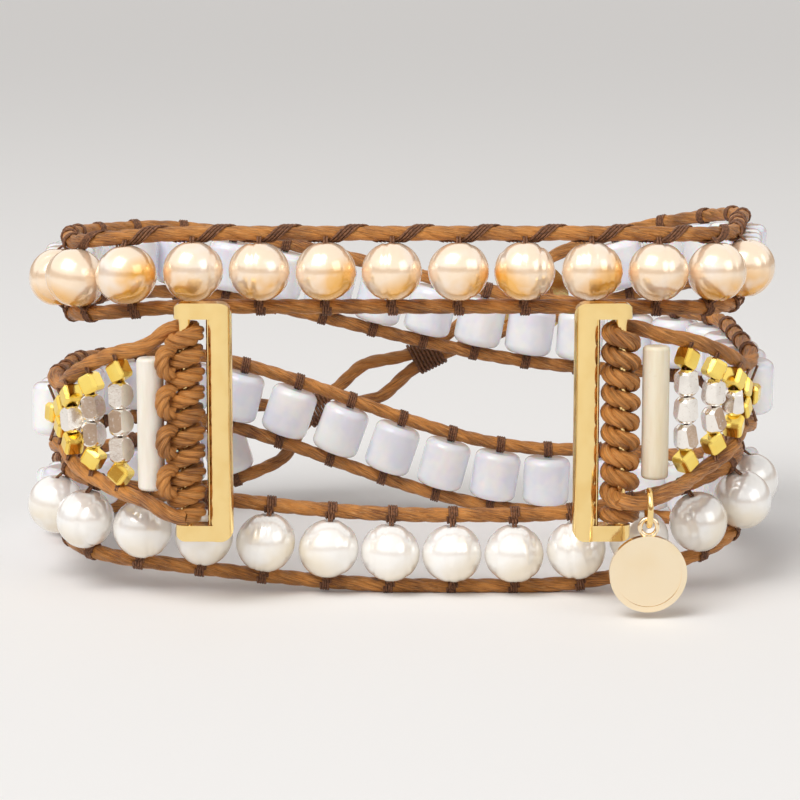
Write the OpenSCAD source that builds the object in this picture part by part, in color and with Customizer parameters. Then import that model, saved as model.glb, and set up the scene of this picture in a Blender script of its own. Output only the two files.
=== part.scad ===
// Pearl wrap watch band: two beaded cord straps that coil three times round a wrist.
// The right strap climbs to a top row of peach pearls, the left strap runs down to a bottom
// row of white pearls, and their ends button together across the back.
// X runs to the right, Y away from the viewer and Z up. The loop stands on its edge.

/* [Loop] */
// Half of the loop's width, measured to the straps' middle surface
loop_half_w = 36.3; // [33:0.1:40]
// Half of the loop's depth, measured to the straps' middle surface
loop_half_d = 20.5; // [19:0.1:24]
// Radius of the loop's front corners
front_corner_r = 10; // [8:0.5:13]
// Radius of the loop's back corners
back_corner_r = 15; // [12:0.5:18]

/* [Edge cords] */
// Diameter of the waxed edge cord
cord_d = 1.6; // [1.2:0.1:1.8]
// From the middle of a row to the middle of each edge cord
row_half = 3.75; // [3.6:0.05:4.2]
// Length of cord between two rings of its tube
cord_step = 3.3; // [3:0.1:5]

/* [Beads] */
// Radius of a pearl at its girth
pearl_r = 3.15; // [2.8:0.05:3.2]
// How far a pearl's middle stands out from the edge cords
pearl_proud = 1.5; // [1.4:0.1:2]
// Diameter of a moonstone drum bead
drum_d = 5.5; // [4.8:0.1:5.7]
// Height of a moonstone drum bead
drum_h = 5.6; // [5:0.1:5.8]
// Least distance from one drum bead to the next
drum_pitch = 5.8; // [5.8:0.05:6.4]
// Length of the bone bar bead beside each knotted bar
bar_bead_h = 13.4; // [12:0.1:13.6]
// Diameter of the bone bar bead
bar_bead_d = 2.7; // [2.2:0.1:3]
// Height of a silver nugget
nugget_h = 2.75; // [2.4:0.05:2.8]
// Size of a gold cube across its flats
cube_a = 2; // [1.8:0.05:2.05]

/* [Watch adapters] */
// Length of an adapter's rail
adapter_l = 24; // [22:0.1:25]
// Diameter of the knotted bar
pin_d = 1.2; // [1:0.1:1.4]
// From the middle of the watch bay to each bar
pin_x = 21.7; // [21.5:0.1:23]
// How far the bars stand out from the straps' middle surface
pin_proud = 6.1; // [5.2:0.1:6.5]
// Height of the adapters' middle
adapter_z = 19.2; // [19:0.1:19.4]

/* [Knotted bars] */
// Diameter of the cord wound on the bars
wind_d = 1.4; // [1.2:0.1:1.5]
// Turns of cord on the right bar, the left one having one more
wind_turns = 8; // [6:1:8]

/* [Charm] */
// Diameter of the charm disc
charm_d = 7.7; // [6:0.1:8]
// Thickness of the charm disc
charm_t = 0.9; // [0.6:0.1:1]

/* [Closure] */
// Diameter of the button
button_d = 9; // [8:0.1:10]
// Height of the button's dome
button_h = 2.6; // [2:0.1:3]

/* [Hidden] */
$fn = 48;

// The loop's outline, walked from the middle of the front to the right and round.
// Where the loop's middle lies behind the part's origin
loop_y = -0.6;
front_run = loop_half_w - front_corner_r;
front_corner_end = front_run + front_corner_r * PI / 2;
side_end = front_corner_end + 2 * loop_half_d - front_corner_r - back_corner_r;
back_corner_end = side_end + back_corner_r * PI / 2;
half_round = back_corner_end + loop_half_w - back_corner_r;
round_l = 2 * half_round;

// [x, y, heading] on the right half of the outline, a distance a from the front's middle.
function right_half(a, out) =
    a < front_run ? [a, -loop_half_d - out, 0] :
    a < front_corner_end ?
        let (t = (a - front_run) / front_corner_r * 180 / PI)
        [front_run + (front_corner_r + out) * sin(t),
         front_corner_r - loop_half_d - (front_corner_r + out) * cos(t), t] :
    a < side_end ? [loop_half_w + out, front_corner_r - loop_half_d + a - front_corner_end, 90] :
    a < back_corner_end ?
        let (t = (a - side_end) / back_corner_r * 180 / PI)
        [loop_half_w - back_corner_r + (back_corner_r + out) * cos(t),
         loop_half_d - back_corner_r + (back_corner_r + out) * sin(t), 90 + t] :
    [loop_half_w - back_corner_r - a + back_corner_end, loop_half_d + out, 180];

// The same for any distance s, positive to the right and negative to the left.
function outline(s, out) =
    let (m = s - round_l * floor(s / round_l))
    m <= half_round ? right_half(m, out) :
    let (p = right_half(round_l - m, out)) [-p[0], p[1], -p[2]];

// Values that change along a strap are eased between keys of [distance, value].
function ease(t) = (1 - cos(180 * t)) / 2;
function eased(keys, t, i = 0) =
    t <= keys[0][0] ? keys[0][1] :
    i == len(keys) - 1 ? keys[i][1] :
    t <= keys[i + 1][0] ?
        keys[i][1] + (keys[i + 1][1] - keys[i][1])
            * ease((t - keys[i][0]) / (keys[i + 1][0] - keys[i][0])) :
    eased(keys, t, i + 1);

// The two tails share one slanting line across the back, tail_l long.
floor_z = row_half + 0.4 * cord_d;
top_z = 33.6;
tail_top_z = 32.9;
tail_lower_from = round_l + 68;
tail_upper_from = round_l + 62;
tail_l = 3 * round_l - tail_lower_from - tail_upper_from;
tail_bend = 0.25;
tail_out = 7;
function ramp(t) =
    t < tail_bend ? t * t / (2 * tail_bend * (1 - tail_bend)) :
    t > 1 - tail_bend ? 1 - (1 - t) * (1 - t) / (2 * tail_bend * (1 - tail_bend)) :
    (t - tail_bend / 2) / (1 - tail_bend);
function tail_z(d) = floor_z + (tail_top_z - floor_z) * ramp(d / tail_l);

// Where the cord wound on a bar ends, from the bar's middle.
cord_start = pin_x + 1.5;
wind_top = 9.45;
right_wind_bottom = -7.6;
left_wind_bottom = -9.45;
wind_gap = 0.06;
wind_r = pin_d / 2 + wind_gap + wind_d / 2;

// Height of each row's middle, u being the length of strap from the watch bay's middle.
upper_z_keys = [[cord_start, adapter_z], [25.5, 20.2], [36, 20.4], [48, 20.9], [76, 21.5], [136, 31],
    [round_l - 46, 31.9], [round_l - 20, top_z], [round_l + 20, top_z],
    [round_l + 46, 33.1], [tail_upper_from, tail_top_z]];
lower_z_keys = [[cord_start, adapter_z], [25.5, 19], [36, 18.4], [48, 17.8], [70, 16.5],
    [round_l - 84, floor_z], [round_l - 72, floor_z], [round_l - 46, 10],
    [round_l - 12, floor_z], [round_l - 4, floor_z], [round_l + 46, 8.3],
    [tail_lower_from, floor_z]];
function upper_z(u) = u > tail_upper_from ?
    tail_z(tail_l - u + tail_upper_from) : eased(upper_z_keys, u);
function lower_z(u) = u > tail_lower_from ?
    tail_z(u - tail_lower_from) : eased(lower_z_keys, u);

// How far each row stands out from the loop's outline. The dip at the front leaves the
// adapters room to turn inward.
row_dip = -1.7;
upper_corner_dip = -1.8;
lower_corner_dip = -1;
upper_out_keys = [[25.5, pin_proud], [30, 0.64 * pin_proud], [36, 0.19 * pin_proud], [42, 0],
    [round_l - 54, 0], [round_l - 38, upper_corner_dip], [round_l - 24, row_dip],
    [round_l + 24, row_dip], [round_l + 38, upper_corner_dip], [round_l + 52, 0],
    [round_l + 76, tail_out]];
lower_out_keys = [[25.5, pin_proud], [30, 0.64 * pin_proud], [36, 0.19 * pin_proud], [42, 0],
    [round_l - 54, 0], [round_l - 38, lower_corner_dip], [round_l - 24, row_dip],
    [round_l + 24, row_dip], [round_l + 38, lower_corner_dip], [round_l + 50, 0],
    [round_l + 74, tail_out]];

// A strap is 1 for the upper one, which leaves to the right, or -1 for the lower one.
function on_strap(strap, u) = let (
    p = outline(strap * u, eased(strap > 0 ? upper_out_keys : lower_out_keys, u)))
    [p[0], p[1] + loop_y, strap > 0 ? upper_z(u) : lower_z(u)];

// [place, heading, climb] of a row's middle, its heading always anticlockwise from above.
// Beside the bars the rows keep upright while they rise or sink.
probe = 0.4;
climb_keys = [[27.5, 0], [36, 1]];
function row_frame(strap, u) = let (
    d = strap * (on_strap(strap, u + probe) - on_strap(strap, u - probe)))
    [on_strap(strap, u), atan2(d[1], d[0]), lookup(u, climb_keys) * asin(d[2] / norm(d))];
function outward(f) = [sin(f[1]), -cos(f[1]), 0];
function rowward(f) = [-sin(f[2]) * cos(f[1]), -sin(f[2]) * sin(f[1]), cos(f[2])];

// Stands its children in a row: x along the row, y inward and z across it.
module in_row(strap, u, proud = 0) {
    f = row_frame(strap, u);
    translate(f[0] + proud * outward(f)) rotate([0, 0, f[1]]) rotate([0, -f[2], 0]) children();
}

// A tube swept through [place, outward] stations, with triangles all over.
function across(v, along) = let (w = v - (v * along) * along) w / norm(w);
function unit(v) = v / norm(v);
module tube(stations, r, sides) {
    n = len(stations);
    points = [for (i = [0 : n - 1]) let (
            ahead = stations[min(i + 1, n - 1)][0],
            behind = stations[max(i - 1, 0)][0],
            along = unit(ahead - behind),
            side = across(stations[i][1], along),
            up = cross(along, side))
        for (k = [0 : sides - 1])
            stations[i][0] + r * (cos(360 * k / sides) * side + sin(360 * k / sides) * up)];
    walls = [for (i = [0 : n - 2]) for (k = [0 : sides - 1]) let (
            a = i * sides + k, b = i * sides + (k + 1) % sides)
        for (t = [[a, b, b + sides], [a, b + sides, a + sides]]) t];
    start = [for (k = [1 : sides - 2]) [0, k + 1, k]];
    last = (n - 1) * sides;
    end = [for (k = [1 : sides - 2]) [last, last + k, last + k + 1]];
    polyhedron(points, [for (t = concat(walls, start, end)) [t[2], t[1], t[0]]]);
}

// Edge cords. Their spread follows the beads from the knotted bar to the single row.
cord_r = cord_d / 2;
cord_sides = 8;
cord_fan_end = 39.2;
fan_keys = [[25.5, 7.6], [27.7, 7.2], [30.05, 5.85], [32.4, 4.45], [34.8, 3.2], [37, 3.2],
    [39, row_half]];
top_spread_keys = concat([[cord_start, wind_top]], fan_keys);
charm_at = 24.3;
right_bottom_spread_keys = concat([[cord_start, -right_wind_bottom], [charm_at, 7.95]], fan_keys);
left_bottom_spread_keys = concat([[cord_start, -left_wind_bottom]], fan_keys);
function spread(strap, u, side) = lookup(u, side > 0 ? top_spread_keys :
    strap > 0 ? right_bottom_spread_keys : left_bottom_spread_keys);
// A cord leaves its winding behind the bar at the top and in front of it at the bottom.
back_lead_keys = [[cord_start, -wind_r], [28.5, 0]];
front_lead_keys = [[cord_start, wind_r], [28.5, 0]];
// Under the right bar it stands out, so that the charm hangs clear of the turning adapter.
charm_lead = 4.1;
charm_lead_keys = [[cord_start, charm_lead - 0.1], [charm_at, charm_lead],
    [charm_at + 0.6, charm_lead], [28.5, 0]];
function station(strap, u, half, lead = 0) = let (f = row_frame(strap, u))
    [f[0] + half * rowward(f) + lead * outward(f), outward(f)];
function steps(from, to, step) = let (n = ceil((to - from) / step))
    [for (i = [0 : n]) from + (to - from) * i / n];
fan_step = 1.3;
function run(strap, side, lead_keys, places) = [for (u = places)
    station(strap, u, side * spread(strap, u, side), eased(lead_keys, u))];
function reversed(list) = [for (i = [len(list) - 1 : -1 : 0]) list[i]];
function without_last(list) = [for (i = [0 : len(list) - 2]) list[i]];

// The upper strap's cord is one length, folded through the button's shank.
fold_at = tail_upper_from + 21.5;
button_at = fold_at + row_half;
fold_turns = [18 : 18 : 162];
bar_places = concat([cord_start, charm_at], without_last(steps(25.5, cord_fan_end, fan_step)));
upper_places = concat(bar_places,
    steps(cord_fan_end, fold_at, cord_step));
upper_cord = concat(
    run(1, 1, back_lead_keys, upper_places),
    [for (t = fold_turns) station(1, fold_at + row_half * sin(t), row_half * cos(t))],
    reversed(run(1, -1, charm_lead_keys, upper_places)));

// The lower strap's cord closes in two whipped places into two loops, and the last loop
// lies round the button's neck.
first_whip = [tail_lower_from + 23, tail_lower_from + 26.5];
second_whip = [tail_lower_from + 36, tail_lower_from + 39.5];
whip_margin = 0.4;
strand_half = cord_r + 0.05;
neck_clear = 1.9;
loop_lift = 2.1;
loop_end_at = tail_lower_from + tail_l - (button_at - tail_upper_from);
closing_keys = [[tail_lower_from + 19, row_half], [first_whip[0] - whip_margin, strand_half],
    [first_whip[1] + whip_margin, strand_half], [tail_lower_from + 31.2, 2.4],
    [second_whip[0] - whip_margin, strand_half], [second_whip[1] + whip_margin, strand_half],
    [loop_end_at - 5, neck_clear], [loop_end_at, neck_clear]];
lift_keys = [[second_whip[1] + whip_margin, 0], [loop_end_at - 3, loop_lift]];
function closing_run(side, places) = [for (u = places)
    station(-1, u, side * lookup(u, closing_keys), eased(lift_keys, u))];
lower_places = concat(bar_places,
    without_last(steps(cord_fan_end, tail_lower_from + 19, cord_step)));
loop_places = concat(
    [first_whip[0] - whip_margin, first_whip[0], first_whip[1], first_whip[1] + whip_margin],
    [tail_lower_from + 29, tail_lower_from + 31.2, tail_lower_from + 33.4],
    [second_whip[0] - whip_margin, second_whip[0], second_whip[1], second_whip[1] + whip_margin],
    [loop_end_at - 7, loop_end_at - 5, loop_end_at - 3, loop_end_at]);
function after(list, least) = [for (v = list) if (v >= least) v];
lower_strap_top_cord = concat(
    run(-1, 1, back_lead_keys, lower_places),
    closing_run(1, concat([tail_lower_from + 19], loop_places)),
    [for (t = fold_turns) station(-1, loop_end_at + neck_clear * sin(t),
        neck_clear * cos(t), loop_lift)],
    reversed(closing_run(-1, after(loop_places, first_whip[1]))));
lower_strap_bottom_cord = concat(
    run(-1, -1, front_lead_keys, lower_places),
    closing_run(-1, [tail_lower_from + 19, first_whip[0] - whip_margin, first_whip[0]]));

module upper_strap_cord() {
    color("sienna") tube(upper_cord, cord_r, cord_sides);
}
module lower_strap_upper_cord() {
    color("sienna") tube(lower_strap_top_cord, cord_r, cord_sides);
}
// Cut flat where it lies on the table.
module lower_strap_lower_cord() {
    color("sienna") difference() {
        tube(lower_strap_bottom_cord, cord_r, cord_sides);
        translate([-loop_half_w * 2, -loop_half_w * 2, -cord_d])
            cube([loop_half_w * 4, loop_half_w * 4, cord_d]);
    }
}

// Beads. Each place is a length of strap from the watch bay's middle. The tails bow outward,
// so their beads are set by the real length of the row.
bore_d = 0.7;
function evenly(from, to) = let (n = floor((to - from) / drum_pitch))
    [for (i = [0 : n]) from + (to - from) * i / n];
function stretch(strap, u) =
    norm(on_strap(strap, u + probe) - on_strap(strap, u - probe)) / (2 * probe);
function marched(strap, u, end) = u > end ? [] :
    concat([u], marched(strap, u + drum_pitch / stretch(strap, u + drum_pitch / 3), end));
peach_pitch = 6.75;
peach_first = round_l - 41.6;
peach_count = 13;
function peach_place(i) = peach_first + peach_pitch * (i - 1);
white_pitch = 6.4;
white_first = round_l - 43.5;
white_count = 14;
function white_place(i) = white_first + white_pitch * (i - 1);
bead_room = pearl_r + drum_d / 2 + 0.05;
first_drum = 41;
upper_drums = evenly(first_drum, peach_first - bead_room);
upper_tail_drums = marched(1, peach_place(peach_count) + bead_room, fold_at - drum_d / 2 - 0.35);
lower_drums = evenly(first_drum, white_first - bead_room);
lower_tail_drums = marched(-1, white_place(white_count) + bead_room, tail_lower_from + 16.5);
back_from = back_corner_end;
back_to = round_l - back_corner_end;

// A pearl is two balls a little apart, longer on one side or the other, with a shallow
// ring or two on some, clear of the bore.
ring_places = [[], [-0.9], [], [0.85, 1.3], [-1.2], [], [-0.8, -1.3]];
ring_cut = 0.22;
ring_depth = 0.09;
girth_r = pearl_r - 0.05;
function end_r(i) = pearl_r - 0.2 + 0.04 * sin(137 * i);
module pearl(i) {
    long_side = i % 2 == 0 ? 1 : -1;
    difference() {
        union() {
            translate([(girth_r - pearl_r) * long_side, 0, 0]) sphere(girth_r);
            translate([(pearl_r - end_r(i)) * long_side, 0, 0]) sphere(end_r(i));
        }
        for (at = ring_places[i % 7])
            translate([at, 0, 0]) rotate([0, 90, 0]) rotate_extrude()
                translate([sqrt(girth_r * girth_r - at * at) + ring_cut - ring_depth, 0])
                    circle(ring_cut);
        cylinder(d = bore_d, h = 3 * pearl_r, center = true);
    }
}
module peach_pearl(i) {
    color("peachpuff") in_row(1, peach_place(i), pearl_proud) pearl(i);
}
module white_pearl(i) {
    color("ivory") in_row(-1, white_place(i), pearl_proud) pearl(i + 3);
}

// A drum of moonstone, its ends rounded over.
drum_round = 0.9;
module drum() {
    difference() {
        rotate_extrude() {
            translate([0, -drum_h / 2]) square([drum_d / 2 - drum_round, drum_h]);
            translate([0, drum_round - drum_h / 2])
                square([drum_d / 2, drum_h - 2 * drum_round]);
            for (end = [-1, 1])
                translate([drum_d / 2 - drum_round, end * (drum_h / 2 - drum_round)])
                    circle(drum_round);
        }
        cylinder(d = bore_d, h = 2 * drum_h, center = true);
    }
}
module drums(strap, places, from, to) {
    color("lavender") for (u = places) if (u >= from && u < to) in_row(strap, u) drum();
}

// The fan beside each bar: columns of nuggets with a gold cube at both ends.
column_first = 27.7;
column_pitch = 2.35;
column_count = 5;
nugget_pitch = nugget_h + 0.03;
function column_place(c) = column_first + column_pitch * (c - 1);
function nuggets_in(c) = max(0, 4 - c);
function cube_height(c) = (nuggets_in(c) * nugget_pitch + cube_a + 0.03) / 2;
module gold_cube() {
    cut = 0.24 * cube_a;
    h = cube_a / 2;
    module side() linear_extrude(2 * cube_a, center = true) polygon([
        [h, h - cut], [h - cut, h], [cut - h, h], [-h, h - cut],
        [-h, cut - h], [cut - h, -h], [h - cut, -h], [h, cut - h]]);
    difference() {
        intersection() {
            side();
            rotate([90, 0, 0]) side();
            rotate([0, 90, 0]) side();
        }
        cylinder(d = bore_d, h = 2 * cube_a, center = true);
    }
}
module nugget() {
    width = 2.2;
    difference() {
        intersection() {
            cube([width, width, nugget_h], center = true);
            sphere(r = 0.58 * nugget_h);
        }
        cylinder(d = bore_d, h = 2 * nugget_h, center = true);
    }
}
module gold_cubes(strap) {
    color("gold") for (c = [1 : column_count]) in_row(strap, column_place(c)) {
        if (c < column_count)
            for (side = [-1, 1]) translate([0, 0, side * cube_height(c)]) gold_cube();
        else gold_cube();
    }
}
module silver_nuggets(strap) {
    color("silver") for (c = [1 : 3]) in_row(strap, column_place(c))
        for (j = [0 : nuggets_in(c) - 1])
            translate([0, 0, (j - (nuggets_in(c) - 1) / 2) * nugget_pitch]) nugget();
}
bar_bead_at = 25.2;
bar_round = 0.4;
module bar_bead(strap) {
    color("antiquewhite") in_row(strap, bar_bead_at) difference() {
        rotate_extrude() {
            translate([0, -bar_bead_h / 2])
                square([bar_bead_d / 2 - bar_round, bar_bead_h]);
            translate([0, bar_round - bar_bead_h / 2])
                square([bar_bead_d / 2, bar_bead_h - 2 * bar_round]);
            for (end = [-1, 1])
                translate([bar_bead_d / 2 - bar_round, end * (bar_bead_h / 2 - bar_round)])
                    circle(bar_round);
        }
        cylinder(d = bore_d, h = 2 * bar_bead_h, center = true);
    }
}

// Stitching: a stay of thread through every bead's bore, from one edge cord to the other.
thread_d = 0.45;
// A stay in the fan ends this much short of the sloping cord.
stay_clear = 0.35;
module stay(half) {
    cylinder(d = thread_d, h = 2 * half, center = true);
}
module stitching(strap, drum_places, pearl_places) {
    color("saddlebrown") {
        for (u = drum_places) in_row(strap, u) stay(row_half - cord_r - 0.1);
        for (u = pearl_places) in_row(strap, u, pearl_proud) stay(pearl_r - 0.02);
        for (c = [1 : column_count]) in_row(strap, column_place(c))
            stay(spread(strap, column_place(c), 1) - cord_r - stay_clear);
        in_row(strap, bar_bead_at) stay(bar_bead_h / 2);
    }
}
module upper_strap_stitching() {
    stitching(1, concat(upper_drums, upper_tail_drums),
        [for (i = [1 : peach_count]) peach_place(i)]);
}
module lower_strap_stitching() {
    stitching(-1, concat(lower_drums, lower_tail_drums),
        [for (i = [1 : white_count]) white_place(i)]);
}

// Everything on the right bar stands on the bar's own middle. The left side is its mirror.
module at_right_bar() {
    translate([pin_x, loop_y - loop_half_d - pin_proud, adapter_z]) children();
}
module at_left_bar() {
    mirror([1, 0, 0]) at_right_bar() children();
}

// The cord wound on a bar is one unbroken helix with a straight end at top and bottom.
wind_sides = 6;
wind_rings = 24;
wind_tail = cord_start - pin_x - 0.55;
function wind_core(turns, bottom) = [for (i = [0 : turns * wind_rings]) let (
        t = i * 360 / wind_rings)
    [[-wind_r * sin(t), -wind_r * cos(t),
      bottom + (wind_top - bottom) * i / (turns * wind_rings)],
     [-sin(t), -cos(t), 0]]];
function moved(from, along) = [from[0] + along, from[1]];
function top_end(core) = moved(core[len(core) - 1], [wind_tail, 0, 0]);
function with_ends(core) = concat([moved(core[0], [wind_tail, 0, 0])], core, [top_end(core)]);
// The right winding's lower end leaves aslant, towards the cord that carries the charm.
slant_ring = 4;
slant_run = 2.9;
slant_turn = slant_ring * 360 / wind_rings;
function with_slant_end(core) = let (
    from = moved(core[slant_ring], slant_run * [cos(slant_turn), -sin(slant_turn), 0]))
    concat([[[from[0][0], from[0][1], core[0][0][2]], from[1]]],
        [for (i = [slant_ring : len(core) - 1]) core[i]], [top_end(core)]);
function least_gap(core) = min([for (i = [0 : len(core) - wind_rings - 1])
    for (j = [i + wind_rings / 2 : min(i + 2 * wind_rings, len(core) - 1)])
        norm(core[i][0] - core[j][0])]) - wind_d;
right_core = wind_core(wind_turns + 0.5, right_wind_bottom);
left_core = wind_core(wind_turns + 1.5, left_wind_bottom);
echo(winding_least_gaps_mm = [least_gap(right_core), least_gap(left_core)]);
module bar_winding(path) {
    color("peru") tube(path, wind_d / 2, wind_sides);
}

// A knot fills the right bar between the winding and the lower ear.
knot_r = 0.7;
knot_at = -9.4;
module right_bar_knot() {
    color("peru") at_right_bar() translate([0, 0, knot_at]) rotate_extrude()
        translate([pin_d / 2 + wind_gap + knot_r, 0]) circle(knot_r);
}

// Four bights of cord stand beside the left winding, each bent back towards the bar.
bight_pitch = 4;
bight_run = 0.5;
bight_bend = 0.9;
bight_x = 2.15;
bight_y = -2.1;
bight_rise = 0.2;
module bight_end() {
    translate([0, 0, bight_run / 2]) rotate([90, 0, 0]) translate([-bight_bend, 0, 0])
        rotate_extrude(angle = 90) translate([bight_bend, 0]) circle(d = wind_d);
}
module bight() {
    cylinder(d = wind_d, h = bight_run, center = true);
    bight_end();
    mirror([0, 0, 1]) bight_end();
}
module left_lark_head_loops() {
    color("peru") at_left_bar() for (k = [-1.5 : 1.5])
        translate([bight_x, bight_y, bight_rise + bight_pitch * k])
            rotate([0, 0, atan2(bight_y, bight_x)]) bight();
}

// Watch adapter: a rail that slides into a watch's slot, with two ears that hold the bar.
rail_r = 1.3;
ear_r = 1.1;
rail_x = -3.4;
web_t = 1.6;
web_to = -2.3;
ear_t = 1.6;
pin_fit = 0.02;
end_round = 1.2;
module adapter_outline(ear) {
    translate([rail_x, 0]) circle(rail_r);
    translate([rail_x, -web_t / 2]) square([web_to - rail_x, web_t]);
    if (ear) {
        circle(ear_r);
        translate([rail_x, -ear_r]) square([-rail_x, 2 * ear_r]);
    }
}
module rounded_side() {
    left = rail_x - rail_r;
    h = adapter_l / 2;
    translate([left + end_round, -h]) square([rail_r * 2 - rail_x - 2 * end_round, 2 * h]);
    translate([left, end_round - h])
        square([rail_r * 2 - rail_x, 2 * (h - end_round)]);
    for (x = [left + end_round, rail_r - end_round]) for (z = [-1, 1])
        translate([x, z * (h - end_round)]) circle(end_round);
}
module adapter() {
    color("gold") difference() {
        intersection() {
            union() {
                linear_extrude(adapter_l, center = true) adapter_outline(false);
                for (end = [-1, 1]) translate([0, 0, end * (adapter_l - ear_t) / 2])
                    linear_extrude(ear_t, center = true) adapter_outline(true);
            }
            rotate([90, 0, 0]) linear_extrude(4 * rail_r, center = true) rounded_side();
        }
        cylinder(d = pin_d + 2 * pin_fit, h = 2 * adapter_l, center = true);
    }
}
module adapter_pin() {
    color("darkgoldenrod") cylinder(d = pin_d, h = adapter_l - 0.4, center = true);
}

// Charm: a jump ring hangs on the right strap's lower cord and carries the disc.
ring_r = 1.75;
ring_wire_r = 0.3;
ring_play = 0.15;
eye_r = 0.85;
eye_wire_r = 0.24;
charm_cord = station(1, charm_at, -spread(1, charm_at, -1), eased(charm_lead_keys, charm_at))[0];
ring_middle = charm_cord - [0, 0, ring_r - ring_wire_r - cord_r - ring_play];
eye_middle = ring_middle - [0, 0, ring_r + eye_r - eye_wire_r - ring_wire_r - ring_play];
echo(ring_swing_axis_mm = charm_cord, disc_swing_axis_mm = ring_middle - [0, 0, ring_r]);
module jump_ring() {
    color("gold") translate(ring_middle) rotate([0, 90, 0]) rotate_extrude()
        translate([ring_r, 0]) circle(ring_wire_r);
}
module charm_disc() {
    rim = 0.55;
    sunk = 0.15;
    color("khaki") translate(eye_middle) rotate([90, 0, 0]) {
        rotate_extrude() translate([eye_r, 0]) circle(eye_wire_r);
        translate([0, -eye_r - charm_d / 2, 0]) difference() {
            cylinder(d = charm_d, h = charm_t, center = true);
            for (face = [-1, 1]) translate([0, 0, face * charm_t / 2])
                cylinder(d = charm_d - 2 * rim, h = 2 * sunk, center = true);
        }
    }
}

// Closure: a domed button on a wire eye, and the thread whippings of the loops.
button_frame = row_frame(1, button_at);
shank_hole = cord_r + 0.35;
shank_outer = 1.65;
shank_t = 1.4;
neck_r = 0.8;
dome_from = loop_lift + cord_r + 0.25;
echo(button_axis_mm = button_frame[0]);
module at_button() {
    in_row(1, button_at) rotate([90, 0, 0]) children();
}
module button_dome() {
    ball = (button_d * button_d / 4 + button_h * button_h) / (2 * button_h);
    edge = 0.5;
    color("gold") at_button() translate([0, 0, dome_from]) rotate_extrude() {
        square([button_d / 2, edge]);
        translate([0, edge]) intersection() {
            translate([0, button_h - ball]) circle(ball);
            square([button_d / 2, button_h]);
        }
    }
}
module button_shank() {
    color("goldenrod") at_button() {
        rotate([90, 0, 0]) linear_extrude(shank_t, center = true) difference() {
            circle(shank_outer);
            circle(shank_hole);
        }
        translate([0, 0, (shank_hole + shank_outer) / 2])
            cylinder(r = neck_r, h = dome_from - (shank_hole + shank_outer) / 2);
    }
}
whip_wall = 0.4;
module whipping_outline(strands) {
    grow = cord_r + whip_wall;
    difference() {
        union() {
            for (side = [-1, 1]) translate([side * strand_half, 0]) circle(grow);
            square([2 * strand_half, 2 * grow], center = true);
        }
        for (side = strands) translate([side * strand_half, 0]) circle(cord_r + 0.02);
    }
}
module whipping(whip, strands) {
    in_row(-1, (whip[0] + whip[1]) / 2) rotate([0, 90, 0])
        linear_extrude(whip[1] - whip[0], center = true) whipping_outline(strands);
}
module closure_whippings() {
    color("saddlebrown") {
        whipping(first_whip, [-1]);
        whipping(second_whip, [-1, 1]);
    }
}

upper_strap_cord();
lower_strap_upper_cord();
lower_strap_lower_cord();
upper_strap_stitching();
lower_strap_stitching();
peach_pearl(1);  // peach_pearl_1
peach_pearl(2);  // peach_pearl_2
peach_pearl(3);  // peach_pearl_3
peach_pearl(4);  // peach_pearl_4
peach_pearl(5);  // peach_pearl_5
peach_pearl(6);  // peach_pearl_6
peach_pearl(7);  // peach_pearl_7
peach_pearl(8);  // peach_pearl_8
peach_pearl(9);  // peach_pearl_9
peach_pearl(10);  // peach_pearl_10
peach_pearl(11);  // peach_pearl_11
peach_pearl(12);  // peach_pearl_12
peach_pearl(13);  // peach_pearl_13
white_pearl(1);  // white_pearl_1
white_pearl(2);  // white_pearl_2
white_pearl(3);  // white_pearl_3
white_pearl(4);  // white_pearl_4
white_pearl(5);  // white_pearl_5
white_pearl(6);  // white_pearl_6
white_pearl(7);  // white_pearl_7
white_pearl(8);  // white_pearl_8
white_pearl(9);  // white_pearl_9
white_pearl(10);  // white_pearl_10
white_pearl(11);  // white_pearl_11
white_pearl(12);  // white_pearl_12
white_pearl(13);  // white_pearl_13
white_pearl(14);  // white_pearl_14
drums(1, upper_drums, 0, back_from);  // upper_drums_right_side
drums(1, upper_drums, back_from, back_to);  // upper_drums_back
drums(1, upper_drums, back_to, round_l);  // upper_drums_left_side
drums(1, upper_tail_drums, 0, 3 * round_l);  // upper_drums_tail
drums(-1, lower_drums, 0, back_from);  // lower_drums_left_side
drums(-1, lower_drums, back_from, back_to);  // lower_drums_back
drums(-1, lower_drums, back_to, round_l);  // lower_drums_right_side
drums(-1, lower_tail_drums, 0, 3 * round_l);  // lower_drums_tail
bar_bead(1);  // right_bar_bead
bar_bead(-1);  // left_bar_bead
gold_cubes(1);  // right_gold_cubes
gold_cubes(-1);  // left_gold_cubes
silver_nuggets(1);  // right_silver_nuggets
silver_nuggets(-1);  // left_silver_nuggets
at_right_bar() bar_winding(with_slant_end(right_core));  // right_bar_winding
at_left_bar() bar_winding(with_ends(left_core));  // left_bar_winding
right_bar_knot();
left_lark_head_loops();
at_right_bar() adapter();  // right_adapter
at_right_bar() adapter_pin();  // right_adapter_pin
at_left_bar() adapter();  // left_adapter
at_left_bar() adapter_pin();  // left_adapter_pin
jump_ring();
charm_disc();
button_dome();
button_shank();
closure_whippings();
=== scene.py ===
"""Pearl wrap watch band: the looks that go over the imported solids.

The band's sizes are in millimetres, and MM makes metres of them. The studio's are in metres. The
route of each strap repeats the formulas of the part's source, so that a cord, bead or thread lies
where its solid lies.
"""

import logging
import math
from dataclasses import dataclass
from enum import Enum
from typing import Sequence

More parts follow.
